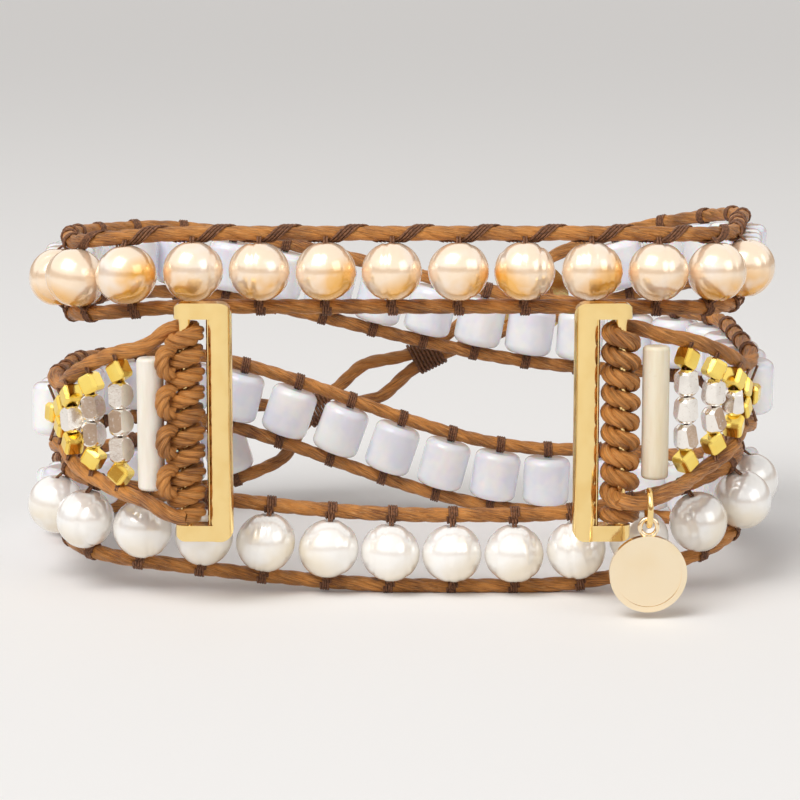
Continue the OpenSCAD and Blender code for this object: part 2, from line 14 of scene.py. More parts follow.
import bmesh
import bpy
import numpy as np
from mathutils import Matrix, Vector

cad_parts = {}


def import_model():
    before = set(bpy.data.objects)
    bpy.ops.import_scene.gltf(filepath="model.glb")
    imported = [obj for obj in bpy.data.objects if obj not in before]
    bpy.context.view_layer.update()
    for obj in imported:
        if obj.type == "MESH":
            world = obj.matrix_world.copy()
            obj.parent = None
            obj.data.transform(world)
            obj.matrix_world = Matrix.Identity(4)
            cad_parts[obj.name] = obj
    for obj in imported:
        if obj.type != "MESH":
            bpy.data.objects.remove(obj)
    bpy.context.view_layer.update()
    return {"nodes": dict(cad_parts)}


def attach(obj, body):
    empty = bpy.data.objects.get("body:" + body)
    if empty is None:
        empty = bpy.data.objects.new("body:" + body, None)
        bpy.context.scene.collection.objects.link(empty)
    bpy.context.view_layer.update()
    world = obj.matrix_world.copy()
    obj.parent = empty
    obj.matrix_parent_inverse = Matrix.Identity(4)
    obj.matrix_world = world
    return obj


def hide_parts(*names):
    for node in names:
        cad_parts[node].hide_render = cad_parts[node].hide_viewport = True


MM = 0.001
LOG = logging.getLogger("band")
Keys = Sequence[tuple[float, float]]
Point = np.ndarray
Colour = tuple[float, float, float]


class Strap(Enum):
    """The two straps, by the way that they leave the watch bay."""

    UPPER = 1
    LOWER = -1


class Edge(Enum):
    """The two edge cords of a strap."""

    TOP = 1
    BOTTOM = -1


def eased(keys: Keys, t: float) -> float:
    """Reads a value between keys with a soft start and stop.

    Args:
        keys: Pairs of distance and value, in order.
        t: The distance to read at.

    Returns:
        The value there.
    """
    if t <= keys[0][0]:
        return keys[0][1]
    for (a, low), (b, high) in zip(keys, keys[1:]):
        if t <= b:
            return low + (high - low) * (1 - math.cos(math.pi * (t - a) / (b - a))) / 2
    return keys[-1][1]


def lookup(keys: Keys, t: float) -> float:
    """Reads a value between keys on straight lines.

    Args:
        keys: Pairs of distance and value, in order.
        t: The distance to read at.

    Returns:
        The value there.
    """
    return float(np.interp(t, [k[0] for k in keys], [k[1] for k in keys]))


@dataclass(frozen=True)
class RowFrame:
    """Where a strap's row is and how it lies, in millimetres and radians."""

    place: Point
    heading: float
    climb: float

    @property
    def along(self) -> Point:
        """The direction along the row."""
        return np.array([math.cos(self.heading) * math.cos(self.climb),
                         math.sin(self.heading) * math.cos(self.climb), math.sin(self.climb)])

    @property
    def outward(self) -> Point:
        """The direction away from the wrist."""
        return np.array([math.sin(self.heading), -math.cos(self.heading), 0.0])

    @property
    def across(self) -> Point:
        """The direction from the lower edge to the upper edge."""
        return np.array([-math.sin(self.climb) * math.cos(self.heading),
                         -math.sin(self.climb) * math.sin(self.heading), math.cos(self.climb)])

    def at(self, x: float = 0.0, out: float = 0.0, up: float = 0.0) -> Point:
        """A point given along the row, outward and across it."""
        return self.place + x * self.along + out * self.outward + up * self.across


@dataclass(frozen=True)
class Route:
    """The loop that both straps follow. A length of strap, u, starts at the bay's middle."""

    half_w: float = 36.3
    half_d: float = 20.5
    front_r: float = 10.0
    back_r: float = 15.0
    middle_y: float = -0.6
    cord_r: float = 0.8
    row_half: float = 3.75
    pin_x: float = 21.7
    pin_proud: float = 6.1
    bar_z: float = 19.2
    cord_start: float = 23.2
    charm_at: float = 24.3
    charm_lead: float = 4.1
    wind_r: float = 1.36
    wind_top: float = 9.45
    right_wind_bottom: float = -7.6
    left_wind_bottom: float = -9.45
    top_z: float = 33.6
    tail_top_z: float = 32.9
    tail_out: float = 7.0
    tail_bend: float = 0.25
    row_dip: float = -1.7
    upper_corner_dip: float = -1.8
    lower_corner_dip: float = -1.0
    upper_tail_after: float = 62.0
    lower_tail_after: float = 68.0
    fold_after: float = 21.5
    slant_turn: float = math.pi / 3
    probe: float = 0.4

    @property
    def front_run(self) -> float:
        """Half of the straight front."""
        return self.half_w - self.front_r

    @property
    def front_corner_end(self) -> float:
        """Where a front corner ends."""
        return self.front_run + self.front_r * math.pi / 2

    @property
    def side_end(self) -> float:
        """Where a side ends and the back corner begins."""
        return self.front_corner_end + 2 * self.half_d - self.front_r - self.back_r

    @property
    def back_corner_end(self) -> float:
        """Where a back corner ends."""
        return self.side_end + self.back_r * math.pi / 2

    @property
    def round_l(self) -> float:
        """One whole round of the loop."""
        return 2 * (self.back_corner_end + self.half_w - self.back_r)

    @property
    def floor_z(self) -> float:
        """The middle of a row that lies on the table."""
        return self.row_half + 0.8 * self.cord_r

    @property
    def tail_lower_from(self) -> float:
        """Where the lower strap's tail begins."""
        return self.round_l + self.lower_tail_after

    @property
    def tail_upper_from(self) -> float:
        """Where the upper strap's tail begins."""
        return self.round_l + self.upper_tail_after

    @property
    def tail_l(self) -> float:
        """The length that the two tails share."""
        return 3 * self.round_l - self.tail_lower_from - self.tail_upper_from

    @property
    def fold_at(self) -> float:
        """Where the upper strap's cord begins its fold through the button."""
        return self.tail_upper_from + self.fold_after

    @property
    def loop_end_at(self) -> float:
        """Where the lower strap's last loop ends, under the button."""
        return self.tail_lower_from + self.tail_l - self.fold_after - self.row_half

    @property
    def strand_half(self) -> float:
        """From the row's middle to each of two strands that lie side by side."""
        return self.cord_r + 0.05

    def bar(self, side: int) -> Point:
        """The middle of the bar on one side, 1 for the right and -1 for the left."""
        return np.array([side * self.pin_x, self.middle_y - self.half_d - self.pin_proud,
                         self.bar_z])

    def right_half(self, a: float, out: float) -> tuple[float, float, float]:
        """A point of the right half of the outline.

        Args:
            a: Distance from the front's middle.
            out: How far outside the outline the point lies.

        Returns:
            x, y and heading in radians.
        """
        if a < self.front_run:
            return a, -self.half_d - out, 0.0
        if a < self.front_corner_end:
            t = (a - self.front_run) / self.front_r
            r = self.front_r + out
            return (self.front_run + r * math.sin(t),
                    self.front_r - self.half_d - r * math.cos(t), t)
        if a < self.side_end:
            return (self.half_w + out, self.front_r - self.half_d + a - self.front_corner_end,
                    math.pi / 2)
        if a < self.back_corner_end:
            t = (a - self.side_end) / self.back_r
            r = self.back_r + out
            return (self.half_w - self.back_r + r * math.cos(t),
                    self.half_d - self.back_r + r * math.sin(t), math.pi / 2 + t)
        return self.half_w - self.back_r - a + self.back_corner_end, self.half_d + out, math.pi

    def outline(self, s: float, out: float) -> tuple[float, float, float]:
        """A point of the outline.

        Args:
            s: Distance from the front's middle, positive to the right.
            out: How far outside the outline the point lies.

        Returns:
            x, y and heading in radians.
        """
        m = s % self.round_l
        if m <= self.round_l / 2:
            return self.right_half(m, out)
        x, y, heading = self.right_half(self.round_l - m, out)
        return -x, y, -heading

    def tail_z(self, d: float) -> float:
        """Height of the line that both tails follow.

        Args:
            d: Distance from the lower tail's start.

        Returns:
            The height, whose line is level at both ends.
        """
        t = d / self.tail_l
        bend = self.tail_bend
        if t < bend:
            ramp = t * t / (2 * bend * (1 - bend))
        elif t > 1 - bend:
            ramp = 1 - (1 - t) ** 2 / (2 * bend * (1 - bend))
        else:
            ramp = (t - bend / 2) / (1 - bend)
        return self.floor_z + (self.tail_top_z - self.floor_z) * ramp

    def height(self, strap: Strap, u: float) -> float:
        """Height of a row's middle.

        Args:
            strap: The strap.
            u: The length of strap.

        Returns:
            The height above the table.
        """
        end = self.round_l
        if strap is Strap.UPPER:
            if u > self.tail_upper_from:
                return self.tail_z(self.tail_l - u + self.tail_upper_from)
            return eased([(self.cord_start, self.bar_z), (25.5, 20.2), (36, 20.4), (48, 20.9),
                          (76, 21.5), (136, 31), (end - 46, 31.9), (end - 20, self.top_z),
                          (end + 20, self.top_z), (end + 46, 33.1),
                          (self.tail_upper_from, self.tail_top_z)], u)
        if u > self.tail_lower_from:
            return self.tail_z(u - self.tail_lower_from)
        floor = self.floor_z
        return eased([(self.cord_start, self.bar_z), (25.5, 19), (36, 18.4), (48, 17.8),
                      (70, 16.5), (end - 84, floor), (end - 72, floor), (end - 46, 10),
                      (end - 12, floor), (end - 4, floor), (end + 46, 8.3),
                      (self.tail_lower_from, floor)], u)

    def stand_out(self, strap: Strap, u: float) -> float:
        """How far a row stands out from the outline.

        Args:
            strap: The strap.
            u: The length of strap.

        Returns:
            The distance, negative inward.
        """
        end = self.round_l
        upper = strap is Strap.UPPER
        dip = self.upper_corner_dip if upper else self.lower_corner_dip
        tail = end + (52 if upper else 50)
        proud = self.pin_proud
        return eased([(25.5, proud), (30, 0.64 * proud), (36, 0.19 * proud), (42, 0),
                      (end - 54, 0), (end - 38, dip), (end - 24, self.row_dip),
                      (end + 24, self.row_dip), (end + 38, dip), (tail, 0),
                      (tail + 24, self.tail_out)], u)

    def middle(self, strap: Strap, u: float) -> Point:
        """The middle of a row."""
        x, y, _ = self.outline(strap.value * u, self.stand_out(strap, u))
        return np.array([x, y + self.middle_y, self.height(strap, u)])

    def step(self, strap: Strap, u: float) -> Point:
        """The way from a probe's length behind a point of the row to as far ahead of it."""
        return self.middle(strap, u + self.probe) - self.middle(strap, u - self.probe)

    def frame(self, strap: Strap, u: float) -> RowFrame:
        """The row's frame. Beside the bars, where the row fans out, it stays upright.

        Args:
            strap: The strap.
            u: The length of strap.

        Returns:
            The frame.
        """
        d = strap.value * self.step(strap, u)
        climb = math.asin(d[2] / float(np.linalg.norm(d)))
        return RowFrame(self.middle(strap, u), math.atan2(d[1], d[0]),
                        lookup([(27.5, 0), (36, 1)], u) * climb)

    def spread(self, strap: Strap, edge: Edge, u: float) -> float:
        """Distance from a row's middle to an edge cord, which fans out beside a bar.

        Args:
            strap: The strap.
            edge: The edge cord.
            u: The length of strap.

        Returns:
            The distance.
        """
        fan = [(25.5, 7.6), (27.7, 7.2), (30.05, 5.85), (32.4, 4.45), (34.8, 3.2), (37, 3.2),
               (39, self.row_half)]
        if edge is Edge.TOP:
            start = [(self.cord_start, self.wind_top)]
        elif strap is Strap.UPPER:
            start = [(self.cord_start, -self.right_wind_bottom), (self.charm_at, 7.95)]
        else:
            start = [(self.cord_start, -self.left_wind_bottom)]
        return lookup(start + fan, u)

    def lead(self, strap: Strap, edge: Edge, u: float) -> float:
        """How far an edge cord stands in front of its row beside a bar.

        Args:
            strap: The strap.
            edge: The edge cord.
            u: The length of strap.

        Returns:
            The distance, negative behind the row.
        """
        if edge is Edge.TOP:
            return eased([(self.cord_start, -self.wind_r), (28.5, 0)], u)
        if strap is Strap.UPPER:
            return eased([(self.cord_start, self.charm_lead - 0.1),
                          (self.charm_at, self.charm_lead),
                          (self.charm_at + 0.6, self.charm_lead), (28.5, 0)], u)
        return eased([(self.cord_start, self.wind_r), (28.5, 0)], u)

    def slant(self, run: float) -> Point:
        """A point of the right winding's slanting lower end.

        Args:
            run: Its distance from where the cord leaves the winding.

        Returns:
            The point, from the bar's middle.
        """
        turn = self.slant_turn
        return np.array([run * math.cos(turn) - self.wind_r * math.sin(turn),
                         -run * math.sin(turn) - self.wind_r * math.cos(turn),
                         self.right_wind_bottom])

    def edge_point(self, strap: Strap, edge: Edge, u: float) -> Point:
        """The middle of an edge cord at a length of strap."""
        f = self.frame(strap, u)
        return f.at(out=self.lead(strap, edge, u), up=edge.value * self.spread(strap, edge, u))


ROUTE = Route()


class Graph:
    """A node tree, of shading or of geometry, that is built by name."""

    def __init__(self, tree: bpy.types.NodeTree) -> None:
        """Starts in a tree, with no node of its own yet."""
        self.tree = tree
        self.count = 0

    def node(self, kind: str, settings: dict | None = None, inputs: dict | None = None,
             output: int | str = 0) -> "Wire":
        """Adds a node.

        Args:
            kind: The node's type.
            settings: Its properties, and "stops" for a colour ramp.
            inputs: Values or wires by socket name or number.
            output: The output that is wanted.

        Returns:
            The output, as a wire.
        """
        made = self.tree.nodes.new(kind)
        self.count += 1
        made.location = (220 * (self.count % 12), -180 * (self.count // 12))
        for name, value in (settings or {}).items():
            if name == "stops":
                set_stops(made.color_ramp, value)
            else:
                setattr(made, name, value)
        for name, value in (inputs or {}).items():
            if isinstance(value, Wire):
                self.tree.links.new(value.socket, made.inputs[name])
            else:
                made.inputs[name].default_value = value
        return Wire(self, made.outputs[output])

    def math(self, operation: str, *values: "Wire | float") -> "Wire":
        """Adds a Math node on one to three values."""
        return self.node("ShaderNodeMath", {"operation": operation}, dict(enumerate(values)))

    def vector(self, operation: str, *values: "Wire | tuple") -> "Wire":
        """Adds a Vector Math node on vectors."""
        return self.node("ShaderNodeVectorMath", {"operation": operation}, dict(enumerate(values)))

    def scaled(self, vector: "Wire", amount: "Wire | float") -> "Wire":
        """A vector times a number."""
        return self.node("ShaderNodeVectorMath", {"operation": "SCALE"},
                         {0: vector, "Scale": amount})

    def mix(self, factor: "Wire | float", a: "Wire | tuple", b: "Wire | tuple") -> "Wire":
        """Mixes two colours, whose sockets are the seventh and eighth."""
        return self.node("ShaderNodeMix", {"data_type": "RGBA"}, {0: factor, 6: a, 7: b}, 2)

    def noise(self, where: "Wire", scale: float, detail: float, rough: float = 0.55) -> "Wire":
        """A noise value between 0 and 1."""
        return self.node("ShaderNodeTexNoise", None, {"Vector": where, "Scale": scale,
                                                      "Detail": detail, "Roughness": rough})

    def value_of(self, name: str) -> "Wire":
        """A number that the mesh carries under a name."""
        return self.node("ShaderNodeAttribute", {"attribute_name": name}, output="Fac")

    def stored(self, geometry: "Wire", name: str, value: "Wire") -> "Wire":
        """Geometry whose points carry a number under a name."""
        return self.node("GeometryNodeStoreNamedAttribute", None,
                         {"Geometry": geometry, "Name": name, "Value": value})

    def ramp(self, value: "Wire", *stops: tuple[float, float | tuple]) -> "Wire":
        """Maps a value through a colour ramp."""
        return self.node("ShaderNodeValToRGB", {"stops": stops}, {"Fac": value})


def set_stops(ramp: bpy.types.ColorRamp, stops: Sequence[tuple]) -> None:
    """Writes a colour ramp's stops.

    Args:
        ramp: The ramp.
        stops: Pairs of place and a grey or a colour, in order.
    """
    while len(ramp.elements) > 1:
        ramp.elements.remove(ramp.elements[-1])
    for i, (place, colour) in enumerate(stops):
        stop = ramp.elements[0] if i == 0 else ramp.elements.new(place)
        stop.position = place
        stop.color = (colour, colour, colour, 1) if isinstance(colour, (int, float)) else colour


class Wire:
    """One output of a node, with arithmetic."""

    def __init__(self, graph: Graph, socket: bpy.types.NodeSocket) -> None:
        """Keeps the graph that new nodes go into, and the output."""
        self.graph = graph
        self.socket = socket

    def out(self, name: int | str) -> "Wire":
        """Another output of the same node."""
        return Wire(self.graph, self.socket.node.outputs[name])

    def __add__(self, other: "Wire | float") -> "Wire":
        """The wire plus a value."""
        return self.graph.math("ADD", self, other)

    def __radd__(self, other: float) -> "Wire":
        """A value plus the wire."""
        return self.graph.math("ADD", other, self)

    def __sub__(self, other: "Wire | float") -> "Wire":
        """The wire less a value."""
        return self.graph.math("SUBTRACT", self, other)

    def __rsub__(self, other: float) -> "Wire":
        """A value less the wire."""
        return self.graph.math("SUBTRACT", other, self)

    def __mul__(self, other: "Wire | float") -> "Wire":
        """The wire times a value."""
        return self.graph.math("MULTIPLY", self, other)

    def __rmul__(self, other: float) -> "Wire":
        """A value times the wire."""
        return self.graph.math("MULTIPLY", other, self)

    def __truediv__(self, other: "Wire | float") -> "Wire":
        """The wire divided by a value."""
        return self.graph.math("DIVIDE", self, other)


def rgba(colour: Colour) -> tuple[float, float, float, float]:
    """A colour with full cover."""
    return (*colour, 1.0)


class Finish:
    """A surface finish, made once and shared. Its name is the material's."""

    name: str
    made: dict[str, bpy.types.Material] = {}

    def shade(self, graph: Graph, where: Wire, shader: bpy.types.Node) -> None:
        """Wires the finish to the shader.

        Args:
            graph: The material's graph.
            where: The piece's own coordinates, in metres.
            shader: The shader that it feeds.
        """
        raise NotImplementedError

    def material(self) -> bpy.types.Material:
        """The material, built on its first use."""
        if self.name not in Finish.made:
            material = bpy.data.materials.new(self.name)
            material.use_nodes = True
            shader = material.node_tree.nodes["Principled BSDF"]
            graph = Graph(material.node_tree)
            where = graph.node("ShaderNodeTexCoord", output="Object")
            self.shade(graph, where, shader)
            Finish.made[self.name] = material
        return Finish.made[self.name]


def feed(graph: Graph, shader: bpy.types.Node, **values: "Wire | float | tuple") -> None:
    """Sets or links a shader's inputs.

    Args:
        graph: The graph that the shader is in.
        shader: The shader.
        values: Values or wires by input name, an underscore standing for a space.
    """
    for name, value in values.items():
        socket = shader.inputs[name.replace("_", " ")]
        if isinstance(value, Wire):
            graph.tree.links.new(value.socket, socket)
        else:
            socket.default_value = value


def bumped(graph: Graph, height: Wire, distance: float) -> Wire:
    """A normal from a height, whose full range is distance metres."""
    return graph.node("ShaderNodeBump", None, {"Height": height, "Distance": distance})


def ply_space(graph: Graph, around: float, along: float) -> Wire:
    """Coordinates that run round and along a swept tube, from the tree's attributes.

    Args:
        graph: The material's graph.
        around: How often they repeat in one radian round the tube.
        along: How often they repeat in one metre.

    Returns:
        The coordinates.
    """
    between_plies = 7.3
    angle = graph.value_of("around") * (2 * math.pi)
    return graph.node("ShaderNodeCombineXYZ", None, {
        0: graph.math("COSINE", angle) * around, 1: graph.math("SINE", angle) * around,
        2: graph.value_of("along") * along + graph.value_of("ply") * between_plies})


@dataclass(frozen=True)
class WaxedCord(Finish):
    """Waxed cotton cord with fibres along its plies and a soft sheen."""

    name: str = "waxed_cord"
    light: Colour = (0.72, 0.290, 0.062)
    dark: Colour = (0.17, 0.050, 0.011)
    bright: Colour = (0.98, 0.66, 0.30)

    def shade(self, graph: Graph, where: Wire, shader: bpy.types.Node) -> None:
        """Mixes browns in patches and along fibres, which follow each ply."""
        patches = graph.noise(where, 260, 3)
        drawn = ply_space(graph, 5.0, 420.0)
        fibres = graph.noise(drawn, 1.0, 4, 0.7)
        hairs = graph.noise(ply_space(graph, 11.0, 700.0), 1.0, 3, 0.6)
        amount = graph.ramp(patches * 0.4 + fibres * 0.6, (0.38, 0.0), (0.55, 1.0))
        colour = graph.mix(amount, rgba(self.dark), rgba(self.light))
        colour = graph.mix(graph.ramp(hairs, (0.58, 0.0), (0.72, 0.8)), colour,
                           rgba(self.bright))
        feed(graph, shader, Base_Color=colour, Roughness=0.50 - 0.16 * hairs,
             Coat_Weight=0.15, Coat_Roughness=0.3,
             Normal=bumped(graph, fibres * 0.6 + hairs * 0.4, 0.00030))


@dataclass(frozen=True)
class BeadingThread(Finish):
    """Dark twisted beading thread."""

    name: str = "beading_thread"
    light: Colour = (0.270, 0.115, 0.050)
    dark: Colour = (0.085, 0.032, 0.014)

    def shade(self, graph: Graph, where: Wire, shader: bpy.types.Node) -> None:
        """Mixes two dark browns along fibres."""
        fibres = graph.noise(where, 4200, 2, 0.7)
        colour = graph.mix(graph.ramp(fibres, (0.4, 0.0), (0.62, 1.0)), rgba(self.dark),
                           rgba(self.light))
        feed(graph, shader, Base_Color=colour, Roughness=0.6,
             Normal=bumped(graph, fibres, 0.00004))


@dataclass(frozen=True)
class Nacre(Finish):
    """The skin of a freshwater pearl: a body colour, a warmer colour that is partly its own tone
    and partly painted shade, and a cool bloom.
    """

    name: str
    body: Colour
    blush_and_shade: Colour
    bloom: Colour
    lustre: float

    def shade(self, graph: Graph, where: Wire, shader: bpy.types.Node) -> None:
        """Blends the three colours in soft clouds and by each pearl's own tint, and lays the
        warmer colour as painted shade towards its lower right, under a clear coat that mirrors the
        studio."""
        clouds = graph.noise(where, 230, 2, 0.5)
        # Painted shade: the stored underside value darkens each pearl towards its lower side, on
        # top of its random tint and clouds.
        blush_and_shade_mask = graph.ramp(graph.value_of("tint") * 0.34 + graph.value_of("blushed")
                          + (clouds - 0.5) * 0.5, (0.50, 0.0), (0.98, 1.0))
        cool = graph.ramp(graph.noise(where, 330, 2, 0.5), (0.52, 0.0), (0.74, 0.7))
        colour = graph.mix(blush_and_shade_mask, rgba(self.body), rgba(self.blush_and_shade))
        colour = graph.mix(cool, colour, rgba(self.bloom))
        skin = graph.noise(where, 700, 3, 0.6)
        feed(graph, shader, Base_Color=colour, Metallic=self.lustre, Roughness=0.17 + 0.1 * skin,
             Coat_Weight=1.0, Coat_Roughness=0.07, Coat_IOR=1.7, Specular_IOR_Level=0.8,
             Normal=bumped(graph, skin, 0.00003))


@dataclass(frozen=True)
class Moonstone(Finish):
    """Milky translucent stone with a blue sheen."""

    name: str = "moonstone"
    milk: Colour = (0.93, 0.91, 0.91)
    veil: Colour = (0.80, 0.82, 0.90)

    def shade(self, graph: Graph, where: Wire, shader: bpy.types.Node) -> None:
        """Veils of blue in milk, polished, with a faint painted glow that stands in for light
        scattered in the stone.
        """
        veils = graph.noise(where, 190, 3, 0.6)
        amount = graph.ramp(veils, (0.42, 0.0), (0.62, 1.0))
        colour = graph.mix(amount, rgba(self.milk), rgba(self.veil))
        # Painted light: the emission makes the stone glow faintly in its own colour, for light
        # that passes through it.
        feed(graph, shader, Base_Color=colour, Roughness=0.06 + 0.10 * veils,
             Coat_Weight=0.6, Coat_Roughness=0.03, Transmission_Weight=0.12, IOR=1.52,
             Subsurface_Weight=0.5, Subsurface_Scale=0.003, Emission_Color=colour,
             Emission_Strength=0.05)


@dataclass(frozen=True)
class Bone(Finish):
    """A smooth cream bead, faintly streaked along its length."""

    name: str
    light: Colour
    dark: Colour

    def shade(self, graph: Graph, where: Wire, shader: bpy.types.Node) -> None:
        """Streaks along Z."""
        drawn = graph.node("ShaderNodeMapping", None, {"Vector": where, "Scale": (1, 1, 0.12)})
        streaks = graph.noise(drawn, 900, 3, 0.6)
        specks = graph.ramp(graph.noise(where, 2600, 1, 0.5), (0.68, 0.0), (0.76, 1.0))
        colour = graph.mix(graph.ramp(streaks, (0.4, 0.0), (0.7, 1.0)), rgba(self.light),
                           rgba(self.dark))
        colour = graph.mix(specks * 0.35, colour, rgba(self.dark))
        feed(graph, shader, Base_Color=colour, Roughness=0.42, Subsurface_Weight=0.15,
             Subsurface_Scale=0.001, Normal=bumped(graph, streaks, 0.00002))


@dataclass(frozen=True)
class Metal(Finish):
    """Polished or tumbled metal, with scuffs and, on old silver, pits."""

    name: str
    colour: Colour
    deep: Colour
    roughness: float
    scuff: float
    pits: float = 0.0

    def shade(self, graph: Graph, where: Wire, shader: bpy.types.Node) -> None:
        """Scuffs in the roughness, tarnish in the colour and pits in the normal."""
        scuffs = graph.noise(where, 1400, 4, 0.65)
        tarnish = graph.ramp(graph.noise(where, 420, 2, 0.5), (0.45, 0.0), (0.75, 1.0))
        holes = graph.ramp(graph.noise(where, 3400, 2, 0.6), (0.24, 1.0), (0.38, 0.0))
        colour = graph.mix(tarnish * 0.6 + holes * self.pits, rgba(self.colour), rgba(self.deep))
        height = scuffs * 0.35 - holes * self.pits
        feed(graph, shader, Base_Color=colour, Metallic=1.0,
             Roughness=self.roughness + self.scuff * scuffs + 0.3 * self.pits * holes,
             Normal=bumped(graph, height, 0.00003))


@dataclass(frozen=True)
class PaleFloor(Finish):
    """The matt paint of the studio's floor."""

    name: str = "floor_white"
    paint: Colour = (0.91, 0.895, 0.88)

    def shade(self, graph: Graph, where: Wire, shader: bpy.types.Node) -> None:
        """One colour with hardly any shine."""
        feed(graph, shader, Base_Color=rgba(self.paint), Roughness=0.7, Specular_IOR_Level=0.2)


CORD = WaxedCord()
THREAD = BeadingThread()
PEACH = Nacre("peach_nacre", (1.0, 0.80, 0.59), (0.97, 0.50, 0.08), (1.0, 0.92, 0.85), 0.42)
WHITE = Nacre("white_nacre", (0.95, 0.93, 0.89), (0.88, 0.80, 0.66), (0.94, 0.95, 0.96), 0.2)
STONE = Moonstone()
LEFT_BONE = Bone("pale_bone", (0.88, 0.84, 0.76), (0.80, 0.73, 0.62))
RIGHT_BONE = Bone("honey_bone", (0.82, 0.74, 0.58), (0.74, 0.62, 0.42))
CUBE_GOLD = Metal("cube_gold", (1.0, 0.76, 0.19), (0.93, 0.57, 0.06), 0.06, 0.08)
NUGGET_SILVER = Metal("nugget_silver", (0.97, 0.93, 0.87), (0.66, 0.61, 0.57), 0.10, 0.12, 0.35)
PLATE_GOLD = Metal("plate_gold", (0.96, 0.72, 0.32), (0.88, 0.60, 0.22), 0.08, 0.08)
CHARM_GOLD = Metal("charm_gold", (1.0, 0.85, 0.61), (0.97, 0.79, 0.52), 0.13, 0.08)


def inputs_of(tree: bpy.types.NodeTree) -> dict[str, str]:
    """The identifier of each named input of a geometry tree."""
    return {item.name: item.identifier for item in tree.interface.items_tree
            if item.item_type == "SOCKET" and item.in_out == "INPUT"}


def new_tree(name: str, floats: dict[str, float],
             bead: bool = False) -> tuple[bpy.types.NodeTree, Graph, Wire]:
    """Starts a geometry tree with named inputs.

    Args:
        name: The tree's name.
        floats: Its number inputs and their defaults.
        bead: Whether it also takes an object to repeat.

    Returns:
        The tree, its graph and its group input.
    """
    tree = bpy.data.node_groups.new(name, "GeometryNodeTree")
    face = tree.interface
    face.new_socket("Geometry", in_out="INPUT", socket_type="NodeSocketGeometry")
    for label, value in floats.items():
        socket = face.new_socket(label, in_out="INPUT", socket_type="NodeSocketFloat")
        socket.default_value = value
    if bead:
        face.new_socket("Bead", in_out="INPUT", socket_type="NodeSocketObject")
    face.new_socket("Material", in_out="INPUT", socket_type="NodeSocketMaterial")
    face.new_socket("Geometry", in_out="OUTPUT", socket_type="NodeSocketGeometry")
    graph = Graph(tree)
    return tree, graph, graph.node("NodeGroupInput")


def close_tree(graph: Graph, given: Wire, geometry: Wire, smooth: bool = True) -> None:
    """Ends a geometry tree with realized and dressed geometry.

    Args:
        graph: The tree's graph.
        given: Its group input.
        geometry: What it has made.
        smooth: Whether all of it is shaded smooth.
    """
    real = graph.node("GeometryNodeRealizeInstances", None, {0: geometry})
    if smooth:
        real = graph.node("GeometryNodeSetShadeSmooth", None, {0: real})
    dressed = graph.node("GeometryNodeSetMaterial", None,
                         {0: real, "Material": given.out("Material")})
    end = graph.tree.nodes.new("NodeGroupOutput")
    graph.tree.links.new(dressed.socket, end.inputs[0])


def cord_tree() -> bpy.types.NodeTree:
    """A cord of plies laid round each other, swept along each path."""
    tree, g, given = new_tree("laid_cord", {
        "Pitch": 0.009, "Plies": 4.0, "Radius": 0.00025, "Ply radius": 0.00055,
        "Steps": 18.0})
    path = g.node("GeometryNodeMeshToCurve", None, {0: given.out("Geometry")})
    pitch = given.out("Pitch")
    fine = g.node("GeometryNodeResampleCurve", {"mode": "LENGTH"},
                  {"Curve": path, "Length": pitch / given.out("Steps")})
    length = g.node("GeometryNodeSplineParameter", output="Length")
    many = g.node("GeometryNodeDuplicateElements", {"domain": "SPLINE"},
                  {"Geometry": g.stored(fine, "along", length), "Amount": given.out("Plies")})
    number = many.out("Duplicate Index")
    angle = (length / pitch + number / given.out("Plies")) * (2 * math.pi)
    normal = g.node("GeometryNodeInputNormal")
    tangent = g.node("GeometryNodeInputTangent")
    side = g.vector("CROSS_PRODUCT", tangent, normal)
    reach = given.out("Radius")
    offset = g.vector("ADD", g.scaled(normal, reach * g.math("COSINE", angle)),
                      g.scaled(side, reach * g.math("SINE", angle)))
    plies = g.node("GeometryNodeSetPosition", None,
                   {"Geometry": g.stored(many, "ply", number), "Offset": offset})
    close_tree(g, given, tube_round(g, plies, 10, given.out("Ply radius")))
    return tree


def tube_round(g: Graph, path: Wire, sides: Wire | int, radius: Wire) -> Wire:
    """A capped tube round a path.

    Args:
        g: The tree's graph.
        path: The curve.
        sides: How many sides the tube has.
        radius: Its radius.

    Returns:
        The tube, whose points carry their place round it from 0 to 1.
    """
    ring = g.node("GeometryNodeCurvePrimitiveCircle", None, {"Resolution": sides,
                                                             "Radius": radius})
    turn = g.node("GeometryNodeInputIndex") / sides
    return g.node("GeometryNodeCurveToMesh", None, {
        "Curve": path, "Profile Curve": g.stored(ring, "around", turn), "Fill Caps": True})


def sweep_tree() -> bpy.types.NodeTree:
    """A thin round thread, swept along each path."""
    tree, g, given = new_tree("wound_thread", {"Radius": 0.00013, "Sides": 5.0})
    path = g.node("GeometryNodeMeshToCurve", None, {0: given.out("Geometry")})
    marked = g.stored(path, "along", g.node("GeometryNodeSplineParameter", output="Length"))
    close_tree(g, given, tube_round(g, marked, given.out("Sides"), given.out("Radius")))
    return tree


def scatter_tree() -> bpy.types.NodeTree:
    """A bead at every point, turned by the point's attribute."""
    tree, g, given = new_tree("strung_beads", {"Scale": 1.0}, bead=True)
    bead = g.node("GeometryNodeObjectInfo", {"transform_space": "ORIGINAL"},
                  {"Object": given.out("Bead")}, "Geometry")
    turn = g.node("GeometryNodeInputNamedAttribute", {"data_type": "FLOAT_VECTOR"},
                  {"Name": "turn"})
    placed = g.node("GeometryNodeInstanceOnPoints", None, {
        "Points": given.out("Geometry"), "Instance": bead, "Scale": given.out("Scale"),
        "Rotation": g.node("FunctionNodeEulerToRotation", None, {0: turn})})
    close_tree(g, given, placed, smooth=False)
    return tree


def in_scene(name: str, data: bpy.types.ID) -> bpy.types.Object:
    """A new object of the scene."""
    obj = bpy.data.objects.new(name, data)
    bpy.context.scene.collection.objects.link(obj)
    return obj


